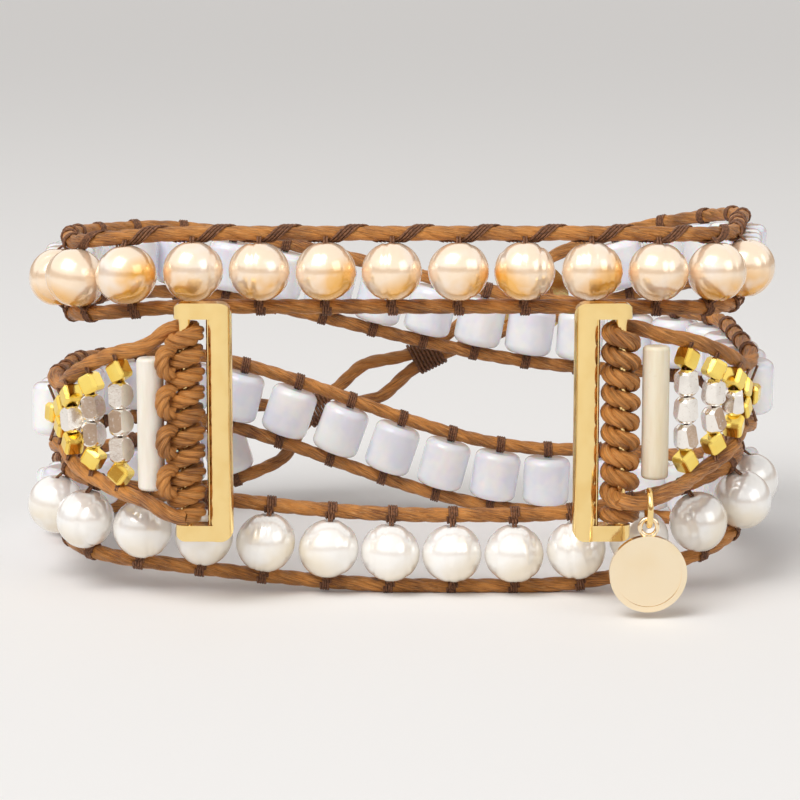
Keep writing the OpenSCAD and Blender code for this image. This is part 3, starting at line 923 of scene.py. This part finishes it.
def mesh_object(name: str, points: np.ndarray, edges: Sequence[tuple[int, ...]] = (),
                faces: Sequence[tuple[int, ...]] = ()) -> bpy.types.Object:
    """A mesh object of the scene.

    Args:
        name: Its name.
        points: Its points, in millimetres.
        edges: Pairs of point numbers.
        faces: Rings of point numbers.

    Returns:
        The object.
    """
    mesh = bpy.data.meshes.new(name)
    mesh.from_pydata((points * MM).tolist(), edges, faces)
    return in_scene(name, mesh)


def path_mesh(name: str, paths: Sequence[np.ndarray]) -> bpy.types.Object:
    """An object of open polylines.

    Args:
        name: Its name.
        paths: The points of each, in millimetres.

    Returns:
        The object.
    """
    edges: list[tuple[int, int]] = []
    start = 0
    for path in paths:
        edges.extend((i, i + 1) for i in range(start, start + len(path) - 1))
        start += len(path)
    return mesh_object(name, np.vstack(paths), edges)


def store(mesh: bpy.types.Mesh, name: str, values: np.ndarray) -> None:
    """Stores a number or a vector for each point of a mesh.

    Args:
        mesh: The mesh.
        name: The attribute's name.
        values: One row for each point.
    """
    kind, holder = ("FLOAT", "value") if values.ndim == 1 else ("FLOAT_VECTOR", "vector")
    layer = mesh.attributes.new(name, kind, "POINT")
    layer.data.foreach_set(holder, values.astype(np.float32).ravel())


def grown(source: bpy.types.Object, tree: bpy.types.NodeTree, name: str,
          **values: float | bpy.types.Object | bpy.types.Material) -> bpy.types.Object:
    """Runs a geometry tree on an object and keeps its result as a plain mesh above the table.

    Args:
        source: The object with the paths or points, which is removed.
        tree: The geometry tree.
        name: The finished piece's name.
        values: The tree's inputs, an underscore standing for a space.

    Returns:
        The finished object.
    """
    modifier = source.modifiers.new(tree.name, "NODES")
    modifier.node_group = tree
    names = inputs_of(tree)
    for label, value in values.items():
        modifier[names[label.replace("_", " ")]] = value
    graph = bpy.context.evaluated_depsgraph_get()
    mesh = bpy.data.meshes.new_from_object(source.evaluated_get(graph))
    source.modifiers.remove(modifier)
    mesh.name = name
    for vertex in mesh.vertices:
        vertex.co.z = max(vertex.co.z, 0.0)
    bpy.data.objects.remove(source)
    return in_scene(name, mesh)


def finish_piece(piece: bpy.types.Object, slot: str, node: str) -> None:
    """Lets a piece ride on the strap and stand for a node, and reports it.

    Args:
        piece: The piece.
        slot: Its material slot, which is not used.
        node: The node that it stands for.
    """
    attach(piece, "strap")
    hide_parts(node)
    LOG.info("%s: %d faces", piece.name, len(piece.data.polygons))


def smoothed(path: np.ndarray, window: int) -> np.ndarray:
    """Rounds a path's corners by a moving mean.

    Args:
        path: Its points.
        window: How many points the mean takes in.

    Returns:
        As many points, the two ends kept.
    """
    half = window // 2
    padded = np.vstack([np.repeat(path[:1], half, 0), path, np.repeat(path[-1:], half, 0)])
    kernel = np.hanning(2 * half + 3)[1:-1]
    kernel = kernel / kernel.sum()
    out = np.stack([np.convolve(padded[:, k], kernel, "valid") for k in range(3)], 1)
    out[0], out[-1] = path[0], path[-1]
    return out


@dataclass(frozen=True)
class Beading:
    """The sizes of the beads of both straps, and where they sit as lengths of strap."""

    drum_d: float = 5.5
    drum_pitch: float = 5.8
    first_drum: float = 41.0
    pearl_r: float = 3.15
    pearl_proud: float = 1.5
    peach_pitch: float = 6.75
    peach_back: float = 41.6
    peach_count: int = 13
    white_pitch: float = 6.4
    white_back: float = 43.5
    white_count: int = 14
    column_first: float = 27.7
    column_pitch: float = 2.35
    columns: int = 5
    cube_pitch: float = 2.03
    nugget_pitch: float = 2.78
    gap: float = 0.05
    fold_gap: float = 0.35
    lower_tail_beads: float = 16.5

    @property
    def bead_room(self) -> float:
        """From a pearl to the drum beside it."""
        return self.pearl_r + self.drum_d / 2 + self.gap

    def pearl_places(self, strap: Strap) -> list[float]:
        """The places of a strap's pearls."""
        back, pitch, count = (self.white_back, self.white_pitch, self.white_count)
        if strap is Strap.UPPER:
            back, pitch, count = (self.peach_back, self.peach_pitch, self.peach_count)
        return [ROUTE.round_l - back + pitch * i for i in range(count)]

    def drum_places(self, strap: Strap) -> list[float]:
        """The places of a strap's drums.

        Args:
            strap: The strap.

        Returns:
            Lengths of strap, those past the pearls a pitch apart along the row's real length.
        """
        pearls = self.pearl_places(strap)
        reach = pearls[0] - self.bead_room - self.first_drum
        count = math.floor(reach / self.drum_pitch)
        places = [self.first_drum + reach * i / count for i in range(count + 1)]
        end = ROUTE.tail_lower_from + self.lower_tail_beads
        if strap is Strap.UPPER:
            end = ROUTE.fold_at - self.drum_d / 2 - self.fold_gap
        u = pearls[-1] + self.bead_room
        while u <= end:
            places.append(u)
            step = ROUTE.step(strap, u + self.drum_pitch / 3)
            u += self.drum_pitch / (float(np.linalg.norm(step)) / (2 * ROUTE.probe))
        return places

    def column(self, c: int) -> float:
        """The place of a column of the fan, counted from 1."""
        return self.column_first + self.column_pitch * (c - 1)

    def nuggets(self, c: int) -> int:
        """How many nuggets a column holds."""
        return max(0, 4 - c)

    def cube_height(self, c: int) -> float:
        """From a column's middle to its gold cubes."""
        return (self.nuggets(c) * self.nugget_pitch + self.cube_pitch) / 2


BEADING = Beading()


@dataclass(frozen=True)
class Loops:
    """The lower strap's two button loops. Their places are lengths of strap from its tail's
    start. The eye's half, the neck and the lift are measured from the row's middle."""

    begin: float = 19.0
    first_pinch: tuple[float, float] = (22.6, 26.9)
    lower_cord_end: float = 23.0
    upper_cord_end: float = 26.5
    eye_at: float = 31.2
    eye_half: float = 2.4
    second_pinch: tuple[float, float] = (35.6, 39.9)
    neck: float = 1.9
    lift: float = 2.1


LOOPS = Loops()


@dataclass(frozen=True)
class CordPath:
    """The edge cords' middle lines."""

    step: float = 0.5
    soften: int = 7
    slant_runs: tuple[float, ...] = (1.9, 2.4, 2.9)
    level_runs: tuple[float, ...] = (0.0, 0.5, 1.0)

    def places(self, start: float, end: float) -> np.ndarray:
        """Lengths of strap between two, evenly."""
        return np.linspace(start, end, max(2, round((end - start) / self.step) + 1))

    def strand(self, strap: Strap, edge: Edge, end: float) -> list[Point]:
        """Points of an edge cord from its winding to a length of strap.

        Args:
            strap: The strap.
            edge: The edge cord.
            end: The length of strap.

        Returns:
            The points, in order.
        """
        bar = ROUTE.bar(strap.value)
        if strap is Strap.UPPER and edge is Edge.BOTTOM:
            points = [bar + ROUTE.slant(run) for run in self.slant_runs]
        else:
            z = ROUTE.wind_top if edge is Edge.TOP else ROUTE.left_wind_bottom
            points = [bar + np.array([strap.value * x, edge.value * ROUTE.wind_r, z])
                      for x in self.level_runs]
        places = self.places(ROUTE.cord_start, end)
        return points + [ROUTE.edge_point(strap, edge, u) for u in places]

    def turn(self, strap: Strap, at: float, r: float, step: int, out: float = 0.0) -> list[Point]:
        """Half a turn of cord, from above the row's middle to below it.

        Args:
            strap: The strap.
            at: The length of strap that it starts from.
            r: Its radius.
            step: The angle between its points, in degrees.
            out: How far it stands out from the row.

        Returns:
            The points, in order.
        """
        return [ROUTE.frame(strap, at + r * math.sin(t)).at(out=out, up=r * math.cos(t))
                for t in np.radians(np.arange(step, 180, step))]

    def loop_run(self, edge: Edge, start: float, end: float) -> list[Point]:
        """Points of one side of the lower strap's loops.

        Args:
            edge: The side.
            start: The length of strap where they start.
            end: The length of strap where they end.

        Returns:
            The points, in order.
        """
        tail, last = ROUTE.tail_lower_from, ROUTE.loop_end_at
        rise = [(tail + LOOPS.second_pinch[1], 0), (last - 3, LOOPS.lift)]
        closing = [(tail + LOOPS.begin, ROUTE.row_half)]
        closing += [(tail + at, ROUTE.strand_half) for at in LOOPS.first_pinch]
        closing += [(tail + LOOPS.eye_at, LOOPS.eye_half)]
        closing += [(tail + at, ROUTE.strand_half) for at in LOOPS.second_pinch]
        closing += [(last - 5, LOOPS.neck), (last, LOOPS.neck)]
        return [ROUTE.frame(Strap.LOWER, u).at(out=eased(rise, u),
                                               up=edge.value * lookup(closing, u))
                for u in self.places(start, end)]

    def upper(self) -> np.ndarray:
        """The upper strap's one cord, folded through the button."""
        fold = ROUTE.fold_at
        points = self.strand(Strap.UPPER, Edge.TOP, fold)
        points += self.turn(Strap.UPPER, fold, ROUTE.row_half, 10)
        points += self.strand(Strap.UPPER, Edge.BOTTOM, fold)[::-1]
        return smoothed(np.array(points), self.soften)

    def lower_top(self) -> np.ndarray:
        """The lower strap's upper cord, whose end makes both loops."""
        tail, end = ROUTE.tail_lower_from, ROUTE.loop_end_at
        begin = tail + LOOPS.begin
        points = self.strand(Strap.LOWER, Edge.TOP, begin)
        points += self.loop_run(Edge.TOP, begin + self.step, end)
        points += self.turn(Strap.LOWER, end, LOOPS.neck, 15, LOOPS.lift)
        points += self.loop_run(Edge.BOTTOM, tail + LOOPS.upper_cord_end, end)[::-1]
        return smoothed(np.array(points), self.soften)

    def lower_bottom(self) -> np.ndarray:
        """The lower strap's lower cord, which ends in the first whipping."""
        tail = ROUTE.tail_lower_from
        begin = tail + LOOPS.begin
        points = self.strand(Strap.LOWER, Edge.BOTTOM, begin)
        points += self.loop_run(Edge.BOTTOM, begin + self.step, tail + LOOPS.lower_cord_end)
        return smoothed(np.array(points), self.soften)


@dataclass(frozen=True)
class Lay:
    """How a cord's plies lie: the length of one turn, from the cord's middle to a ply's, the
    radius of a ply, and how many there are."""

    pitch: float
    reach: float
    ply_r: float
    plies: int = 4


EDGE_LAY = Lay(9.0, 0.30, 0.49)
WINDING_LAY = Lay(4.6, 0.50, 0.41)
KNOT_LAY = Lay(3.8, 0.40, 0.35)


@dataclass
class EdgeCords:
    """The waxed cords along both edges of both straps."""

    tree: bpy.types.NodeTree
    path: CordPath = CordPath()

    def laid(self, name: str, paths: Sequence[np.ndarray], node: str, lay: Lay) -> None:
        """Lays cord along paths and lets it stand for a node.

        Args:
            name: The piece's name.
            paths: Its middle lines.
            node: The node that it stands for.
            lay: How its plies lie.
        """
        piece = grown(path_mesh(name + "_path", paths), self.tree, name, Pitch=lay.pitch * MM,
                      Plies=float(lay.plies), Radius=lay.reach * MM, Ply_radius=lay.ply_r * MM,
                      Material=CORD.material())
        finish_piece(piece, "waxed_cord", node)

    def build(self) -> None:
        """Makes the three edge cords."""
        for name, line in (("upper_strap", self.path.upper()),
                           ("lower_strap_upper", self.path.lower_top()),
                           ("lower_strap_lower", self.path.lower_bottom())):
            self.laid(name + "_plies", [line], name + "_cord", EDGE_LAY)


@dataclass
class KnottedBars:
    """The cord wound and knotted on the two bars. The windings' cord is thicker here than in the
    source and lies closer to the bars, so that it reaches no further out."""

    cords: EdgeCords
    coil_r: float = 1.14
    right_turns: float = 8.5
    left_turns: float = 9.5
    slant_runs: tuple[float, ...] = (2.6, 1.8, 1.0)
    knot_z: float = -9.4
    bight_pitch: float = 4.0
    bight_z: float = 0.2
    bight_bend: float = 0.9
    bight_half: float = 0.25
    bight_leg: float = 0.5
    bight_at: tuple[float, float] = (2.15, -2.1)

    def winding(self, side: int, turns: float, bottom: float) -> np.ndarray:
        """The helix of a winding, mirrored on the left.

        Args:
            side: 1 for the right bar and -1 for the left one.
            turns: Its turns.
            bottom: Its lower end, from the bar's middle.

        Returns:
            Its points.
        """
        t = np.linspace(0, turns * 2 * math.pi, round(turns * 36) + 1)
        z = bottom + (ROUTE.wind_top - bottom) * t / t[-1]
        local = np.stack([-side * self.coil_r * np.sin(t), -self.coil_r * np.cos(t), z], 1)
        if side > 0:
            slant = [ROUTE.slant(run) for run in self.slant_runs]
            local = np.vstack([slant, local[t >= ROUTE.slant_turn]])
        return ROUTE.bar(side) + local

    def bights(self) -> list[np.ndarray]:
        """The four bights beside the left winding, each a cord that bends round and back."""
        x, y = self.bight_at
        direction = np.array([-x, y, 0.0]) / math.hypot(x, y)
        b = self.bight_bend
        half = self.bight_half
        bend = [(b * (math.cos(a) - 1), half + b * math.sin(a))
                for a in np.radians(np.arange(0, 91, 9))]
        line = [(-b - self.bight_leg, half + b)] + bend[::-1]
        line += [(u, -v) for u, v in line[::-1]]
        found = []
        for k in (-1.5, -0.5, 0.5, 1.5):
            middle = ROUTE.bar(-1) + np.array([-x, y, self.bight_z + self.bight_pitch * k])
            found.append(np.array([middle + u * direction + np.array([0, 0, v])
                                   for u, v in line]))
        return found

    def knot(self) -> np.ndarray:
        """The ring of cord below the right winding, whose ends overlap a little."""
        t = np.linspace(0, 2.06 * math.pi, 75) + math.pi / 2
        r = ROUTE.wind_r
        z = np.full(len(t), self.knot_z)
        return ROUTE.bar(1) + np.stack([r * np.cos(t), r * np.sin(t), z], 1)

    def build(self) -> None:
        """Makes the windings, the knot and the bights."""
        right = self.winding(1, self.right_turns, ROUTE.right_wind_bottom)
        left = self.winding(-1, self.left_turns, ROUTE.left_wind_bottom)
        for name, paths, node, lay in (
                ("right_winding", [right], "right_bar_winding", WINDING_LAY),
                ("left_winding", [left], "left_bar_winding", WINDING_LAY),
                ("right_knot", [self.knot()], "right_bar_knot", KNOT_LAY),
                ("left_lark_head", self.bights(), "left_lark_head_loops", KNOT_LAY)):
            self.cords.laid(name + "_plies", paths, node, lay)


@dataclass
class Stitching:
    """The beading thread of a strap: collars on the cords, stays and slanting wraps."""

    tree: bpy.types.NodeTree
    thread_r: float = 0.13
    stand_off: float = 0.4
    turns: int = 4
    collar_pitch: float = 0.25
    wrap_pitch: float = 5.4
    wrap_after: float = 3.15
    wrap_shifts: tuple[float, ...] = (-0.6, -0.2, 0.2, 0.6)
    drum_half: float = 2.7
    pearl_half: float = 2.85
    stay_x: float = 0.14
    stay_bite: float = 0.3

    def coil(self, strap: Strap, edge: Edge, u: float, turns: float, pitch: float,
             phase: float = 0.0) -> np.ndarray:
        """A coil of thread round an edge cord.

        Args:
            strap: The strap.
            edge: The edge cord.
            u: The coil's middle, as a length of strap.
            turns: Its turns.
            pitch: Its advance in a turn.
            phase: Where it starts, in radians.

        Returns:
            Its points.
        """
        count = max(16, round(turns * 12))
        t = np.linspace(0, turns, count + 1)
        reach = turns * pitch / 2 + 0.2
        ahead = ROUTE.edge_point(strap, edge, u + reach)
        behind = ROUTE.edge_point(strap, edge, u - reach)
        along = (ahead - behind) / np.linalg.norm(ahead - behind)
        out = ROUTE.frame(strap, u).outward
        out = out - (out @ along) * along
        out = out / np.linalg.norm(out)
        up = np.cross(out, along) * strap.value
        middle = ROUTE.edge_point(strap, edge, u)
        r = ROUTE.cord_r + self.thread_r * self.stand_off
        angle = phase + 2 * math.pi * t
        return (middle + np.outer((t - turns / 2) * pitch, along)
                + np.outer(r * np.cos(angle), out) + np.outer(r * np.sin(angle), up))

    def stay(self, strap: Strap, u: float, half: float, proud: float) -> list[np.ndarray]:
        """Two threads from one edge cord, through a bead, to the other.

        Args:
            strap: The strap.
            u: The bead's place.
            half: Half the length of its bore.
            proud: How far it stands out from the row.

        Returns:
            The points of each thread.
        """
        f = ROUTE.frame(strap, u)
        top = ROUTE.spread(strap, Edge.TOP, u) - self.stay_bite
        low = self.stay_bite - ROUTE.spread(strap, Edge.BOTTOM, u)
        lead = ROUTE.cord_r * 0.9
        return [np.array([f.at(x=x, out=out, up=up) for out, up in
                          ((lead, top), (proud, half), (proud, -half), (lead, low))])
                for x in (-self.stay_x, self.stay_x)]

    def paths(self, strap: Strap) -> list[np.ndarray]:
        """All the thread of a strap.

        Args:
            strap: The strap.

        Returns:
            The points of each stay, collar and wrap.
        """
        drums = BEADING.drum_places(strap)
        pearls = BEADING.pearl_places(strap)
        found: list[np.ndarray] = []
        for u in drums:
            found += self.stay(strap, u, self.drum_half, 0.0)
        for u in pearls:
            found += self.stay(strap, u, self.pearl_half, BEADING.pearl_proud)
        for c in range(1, BEADING.columns + 1):
            found += self.stay(strap, BEADING.column(c), BEADING.cube_height(c), 0.0)
        for edge in Edge:
            wrapped = strap is Strap.UPPER and edge is Edge.TOP
            for u in drums + ([] if wrapped else pearls):
                found.append(self.coil(strap, edge, u, self.turns, self.collar_pitch))
        if strap is Strap.UPPER:
            for u in pearls:
                for shift in self.wrap_shifts:
                    found.append(self.coil(strap, Edge.TOP, u + self.wrap_after + shift, 1.0,
                                           self.wrap_pitch, -math.pi / 2))
        return found

    def build(self) -> None:
        """Makes the thread of both straps."""
        for strap in Strap:
            name = strap.name.lower()
            source = path_mesh(name + "_thread_paths", self.paths(strap))
            piece = grown(source, self.tree, name + "_strap_thread",
                          Radius=self.thread_r * MM, Material=THREAD.material())
            finish_piece(piece, "beading_thread", name + "_strap_stitching")


@dataclass
class Pearl:
    """A freshwater pearl, a little uneven, strung across its row."""

    strap: Strap
    number: int
    u: float
    finish: Finish
    around: int = 72
    rings: int = 44
    mean_r: float = 3.06
    bore_dip: float = 0.28
    groove_half: float = 0.22

    def radii(self, d: np.ndarray) -> np.ndarray:
        """The pearl's radius along unit directions.

        Args:
            d: Directions, x along the row, y outward and z along the bore.

        Returns:
            Radii in millimetres.
        """
        rng = np.random.default_rng(self.number * 17 + self.strap.value)
        r = np.full(len(d), self.mean_r)
        for order in (2, 3):
            axis = rng.normal(size=3)
            axis /= np.linalg.norm(axis)
            r += rng.uniform(0.02, 0.08) / (order - 1) * np.cos(order * np.arccos(d @ axis))
        point = np.array([rng.choice([-1.0, 1.0]), rng.normal(0, 0.2), rng.normal(0, 0.2)])
        point /= np.linalg.norm(point)
        r += rng.uniform(0.0, 0.2) * np.clip(d @ point, 0, 1) ** 6
        for at in rng.uniform(-2.3, 2.3, size=rng.integers(1, 5)):
            aside = (d[:, 0] * 3.1 - at) / self.groove_half
            r -= rng.uniform(0.03, 0.10) * np.exp(-aside ** 2)
        r -= self.bore_dip * np.exp(-((1 - np.abs(d[:, 2])) / 0.012))
        return np.minimum(r, BEADING.pearl_r)

    def faces(self) -> list[tuple[int, ...]]:
        """The faces between the rings of points, and those round the two poles after them."""
        n = self.around
        upper_pole = (self.rings - 1) * n
        last = upper_pole - n
        pairs = [((k + 1) % n, k) for k in range(n)]
        faces = [(r + b, r + n + b, r + n + a, r + a) for r in range(0, last, n) for b, a in pairs]
        faces += [(b, a, upper_pole) for b, a in pairs]
        return faces + [(last + a, last + b, upper_pole + 1) for b, a in pairs]

    def build(self) -> None:
        """Makes the pearl in its place."""
        theta = np.linspace(0, math.pi, self.rings + 1)[1:-1]
        phi = np.linspace(0, 2 * math.pi, self.around, endpoint=False)
        tt, pp = np.meshgrid(theta, phi, indexing="ij")
        d = np.stack([np.sin(tt) * np.cos(pp), np.sin(tt) * np.sin(pp), np.cos(tt)], -1)
        d = np.vstack([d.reshape(-1, 3), [[0, 0, 1]], [[0, 0, -1]]])
        local = d * self.radii(d)[:, None]
        f = ROUTE.frame(self.strap, self.u)
        middle = f.at(out=BEADING.pearl_proud)
        points = (middle + np.outer(local[:, 0], f.along) + np.outer(local[:, 1], f.outward)
                  + np.outer(local[:, 2], f.across))
        colour = "peach" if self.strap is Strap.UPPER else "white"
        node = f"{colour}_pearl_{self.number}"
        piece = mesh_object(node + "_skin", points, faces=self.faces())
        piece.data.shade_smooth()
        piece.data.materials.append(self.finish.material())
        rng = np.random.default_rng(self.number * 31 + 5)
        store(piece.data, "tint", np.full(len(points), rng.uniform(0, 1)))
        # Painted shade: a value that rises towards the pearl's lower side, where the darker,
        # warmer colour is mixed in.
        lean = rng.uniform(-0.5, 0.9)
        way = np.array([lean, 0.12, -0.72]) / math.hypot(lean, 0.73)
        store(piece.data, "blushed", np.clip(0.22 + 0.82 * (d @ way), 0, 1))
        finish_piece(piece, colour + "_pearl", node)


@dataclass
class Fan:
    """The gold and silver beads beside one bar."""

    strap: Strap
    tree: bpy.types.NodeTree
    cube_a: float = 1.98
    bevel: float = 0.3
    fine_bevel: float = 0.05
    cube_gap: float = 0.04
    nugget_size: tuple[float, float, float] = (2.2, 2.2, 2.72)
    lean: float = 0.52

    def cube(self) -> bpy.types.Object:
        """A cast cube with a broad bevel, whose own edges have a fine one."""
        mesh = bpy.data.meshes.new("cube_master")
        bm = bmesh.new()
        bmesh.ops.create_cube(bm, size=self.cube_a * MM)
        for offset, segments in ((self.bevel, 1), (self.fine_bevel, 2)):
            bmesh.ops.bevel(bm, geom=bm.edges[:], offset=offset * MM, segments=segments,
                            affect="EDGES")
        bm.to_mesh(mesh)
        bm.free()
        return self.master(mesh)

    def nugget(self) -> bpy.types.Object:
        """A tumbled barrel with five cut sides and two cut ends."""
        mesh = bpy.data.meshes.new("nugget_master")
        bm = bmesh.new()
        bmesh.ops.create_uvsphere(bm, u_segments=32, v_segments=20, radius=1.0)
        w, d, h = (v / 2 * MM for v in self.nugget_size)
        wider, longer = 1.28, 1.12
        for v in bm.verts:
            v.co = Vector((v.co.x * w * wider, v.co.y * d * wider, v.co.z * h * longer))
        cuts = [((0.25, -1, 0.1), d * 0.86), ((1, -0.1, 0.15), w * 0.9),
                ((-0.8, -0.65, -0.1), w * 0.98), ((0, 1, 0), d * 0.95), ((-1, 0.3, 0), w * 0.95),
                ((0, 0, 1), h * 0.97), ((0, 0, -1), h * 0.97)]
        for normal, reach in cuts:
            n = Vector(normal).normalized()
            cut = bmesh.ops.bisect_plane(bm, geom=bm.verts[:] + bm.edges[:] + bm.faces[:],
                                         dist=1e-7, plane_co=n * reach, plane_no=n,
                                         clear_outer=True)
            edges = [e for e in cut["geom_cut"] if isinstance(e, bmesh.types.BMEdge)]
            bmesh.ops.edgenet_fill(bm, edges=edges)
        bmesh.ops.remove_doubles(bm, verts=bm.verts[:], dist=2e-6)
        bmesh.ops.recalc_face_normals(bm, faces=bm.faces[:])
        bm.to_mesh(mesh)
        bm.free()
        return self.master(mesh)

    def master(self, mesh: bpy.types.Mesh) -> bpy.types.Object:
        """A master bead with soft shading inside its sharp edges."""
        mesh.shade_smooth()
        mesh.set_sharp_from_angle(angle=math.radians(24))
        return in_scene(mesh.name, mesh)

    def strung(self, name: str, node: str, slot: str, master: bpy.types.Object,
               places: list[tuple[float, float, float]], finish: Finish, seed: int) -> None:
        """Strings copies of a master bead.

        Args:
            name: The piece's name.
            node: The node that it stands for.
            slot: Its material slot.
            master: The bead to repeat, which is removed.
            places: Length of strap, height and lean of each bead.
            finish: Its finish.
            seed: The seed of its small turns.
        """
        rng = np.random.default_rng(seed)
        points, turns = [], []
        for u, up, lean in places:
            f = ROUTE.frame(self.strap, u)
            points.append(f.at(up=up))
            turns.append((rng.normal(0, 0.07), lean - f.climb + rng.normal(0, 0.06),
                          f.heading + rng.normal(0, 0.08)))
        source = mesh_object(name + "_points", np.array(points))
        store(source.data, "turn", np.array(turns))
        piece = grown(source, self.tree, name, Bead=master, Material=finish.material())
        bpy.data.objects.remove(master)
        finish_piece(piece, slot, node)

    def build(self) -> None:
        """Makes the gold and silver beads of one fan."""
        side = "right" if self.strap is Strap.UPPER else "left"
        way = self.strap.value
        cubes, nuggets = [], []
        for c in range(1, BEADING.columns + 1):
            u = BEADING.column(c)
            if c == BEADING.columns:
                cubes.append((u, 0.0, 0.0))
            else:
                h = BEADING.cube_height(c) + self.cube_gap
                cubes += [(u, h, way * self.lean), (u, -h, -way * self.lean)]
            count = BEADING.nuggets(c)
            nuggets += [(u, (j - (count - 1) / 2) * BEADING.nugget_pitch, 0.0)
                        for j in range(count)]
        self.strung(side + "_gold_beads", side + "_gold_cubes", "gold_bead", self.cube(), cubes,
                    CUBE_GOLD, 3 + way)
        self.strung(side + "_silver_beads", side + "_silver_nuggets", "silver_bead",
                    self.nugget(), nuggets, NUGGET_SILVER, 8 + way)


@dataclass
class Closure:
    """The thread whippings that close the lower strap's loops."""

    tree: bpy.types.NodeTree
    thread_r: float = 0.2
    pitch: float = 0.392
    inset: float = 0.6

    def whipping(self, start: float, end: float) -> np.ndarray:
        """A flat coil round two strands that lie side by side.

        Args:
            start: The length of strap where it starts.
            end: The length of strap where it ends.

        Returns:
            Its points.
        """
        turns = (end - start) / self.pitch
        r = ROUTE.cord_r + self.thread_r
        found = []
        for t in np.linspace(0, turns, round(turns * 16)):
            a = 2 * math.pi * t
            f = ROUTE.frame(Strap.LOWER, start + (end - start) * t / turns)
            middle = ROUTE.strand_half if math.sin(a) > 0 else -ROUTE.strand_half
            found.append(f.at(out=r * math.cos(a), up=middle + r * math.sin(a)))
        return np.array(found)

    def build(self) -> None:
        """Makes both whippings."""
        tail = ROUTE.tail_lower_from
        paths = [self.whipping(tail + start + self.inset, tail + end - self.inset)
                 for start, end in (LOOPS.first_pinch, LOOPS.second_pinch)]
        piece = grown(path_mesh("whipping_paths", paths), self.tree, "closure_whipping_thread",
                      Radius=self.thread_r * MM, Sides=6.0, Material=THREAD.material())
        finish_piece(piece, "beading_thread", "closure_whippings")


def dress(nodes: dict[str, bpy.types.Object]) -> None:
    """Gives the solids that stay in view their finishes, by how their names start.

    Args:
        nodes: The frame's nodes by name.
    """
    finishes: dict[str, Finish] = {
        "upper_drums": STONE, "lower_drums": STONE, "right_bar_bead": RIGHT_BONE,
        "left_bar_bead": LEFT_BONE, "right_adapter": PLATE_GOLD, "left_adapter": PLATE_GOLD,
        "jump_ring": PLATE_GOLD, "charm_disc": CHARM_GOLD, "button": PLATE_GOLD}
    for name, obj in nodes.items():
        for start, finish in finishes.items():
            if name.startswith(start):
                if not obj.material_slots:
                    obj.data.materials.append(finish.material())
                for slot in obj.material_slots:
                    slot.material = finish.material()


@dataclass
class Studio:
    """The pale floor, the soft lamps, the sky and the camera. Its places are in metres, and its
    powers in watts or, for the day, in watts to a square metre."""

    floor_side: float = 160.0
    key_at: tuple[float, float, float] = (-0.35, -0.45, 0.75)
    fill_at: tuple[float, float, float] = (0.6, -0.5, 0.4)
    lamps_face: tuple[float, float, float] = (0, 0, 0.02)
    day_power: float = 1.25
    lens: float = 118.8
    camera_at: tuple[float, float, float] = (-0.0003, -0.2874, 0.062)
    tilt: float = 81.13

    def floor(self) -> None:
        """A wide pale floor, whose far edge lies at the horizon."""
        bpy.ops.mesh.primitive_plane_add(size=self.floor_side)
        floor = bpy.context.object
        floor.name = "studio_floor"
        floor.data.materials.append(PaleFloor().material())

    def lamp(self, name: str, at: tuple[float, float, float], size: float, power: float) -> None:
        """A soft square lamp that faces the band.

        Args:
            name: Its name.
            at: Its place.
            size: Its side.
            power: Its power.
        """
        data = bpy.data.lights.new(name, "AREA")
        data.size = size
        data.energy = power
        lamp = in_scene(name, data)
        lamp.location = at
        way = Vector(self.lamps_face) - Vector(at)
        lamp.rotation_euler = way.to_track_quat("-Z", "Y").to_euler()

    def day(self) -> None:
        """Broad soft light from above that reaches the whole floor."""
        data = bpy.data.lights.new("day", "SUN")
        data.energy = self.day_power
        data.angle = math.radians(40)
        lamp = in_scene("day", data)
        lamp.rotation_euler = (math.radians(38), math.radians(-26), 0)
        lamp.visible_glossy = False

    def world(self) -> None:
        """An even sky. Mirrors see a bright window above a tan band at the horizon."""
        world = bpy.data.worlds.new("studio_sky")
        world.use_nodes = True
        bpy.context.scene.world = world
        g = Graph(world.node_tree)
        shader = world.node_tree.nodes["Background"]
        camera_ray = g.node("ShaderNodeLightPath", output="Is Camera Ray")
        glossy_ray = camera_ray.out("Is Glossy Ray")
        where = g.node("ShaderNodeTexCoord", output="Generated")
        height = g.node("ShaderNodeSeparateXYZ", None, {0: where}, 2)
        room = g.ramp(height, (0.0, (0.50, 0.36, 0.26, 1)), (0.22, (0.34, 0.23, 0.16, 1)),
                      (0.34, (1.0, 0.98, 0.96, 1)), (1.0, (0.86, 0.84, 0.82, 1)))
        colour = g.mix(glossy_ray, (1, 0.985, 0.97, 1), room)
        strength = 0.36 + 0.56 * camera_ray + 0.70 * glossy_ray
        feed(g, shader, Color=colour, Strength=strength)

    def camera(self) -> None:
        """The camera of the picture."""
        data = bpy.data.cameras.new("picture_camera")
        data.lens = self.lens
        data.sensor_width = 36
        data.clip_start = 0.01
        camera = in_scene("picture_camera", data)
        camera.location = self.camera_at
        camera.rotation_euler = (math.radians(self.tilt), 0, 0)
        bpy.context.scene.camera = camera

    def build(self) -> None:
        """Sets the stage."""
        self.floor()
        self.lamp("key", self.key_at, 0.6, 3.2)
        self.lamp("fill", self.fill_at, 0.5, 0.9)
        self.day()
        self.world()
        self.camera()
        bpy.context.scene.view_settings.view_transform = "Standard"


def main() -> None:
    """Builds the band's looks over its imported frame."""
    logging.basicConfig(level=logging.INFO, format="%(message)s")
    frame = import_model()
    Studio().build()
    cords = EdgeCords(cord_tree())
    cords.build()
    KnottedBars(cords).build()
    threads = sweep_tree()
    Stitching(threads).build()
    beads = scatter_tree()
    for strap, finish in ((Strap.UPPER, PEACH), (Strap.LOWER, WHITE)):
        for number, u in enumerate(BEADING.pearl_places(strap), 1):
            Pearl(strap, number, u, finish).build()
        Fan(strap, beads).build()
    Closure(threads).build()
    dress(frame["nodes"])


if __name__ == "__main__":
    main()
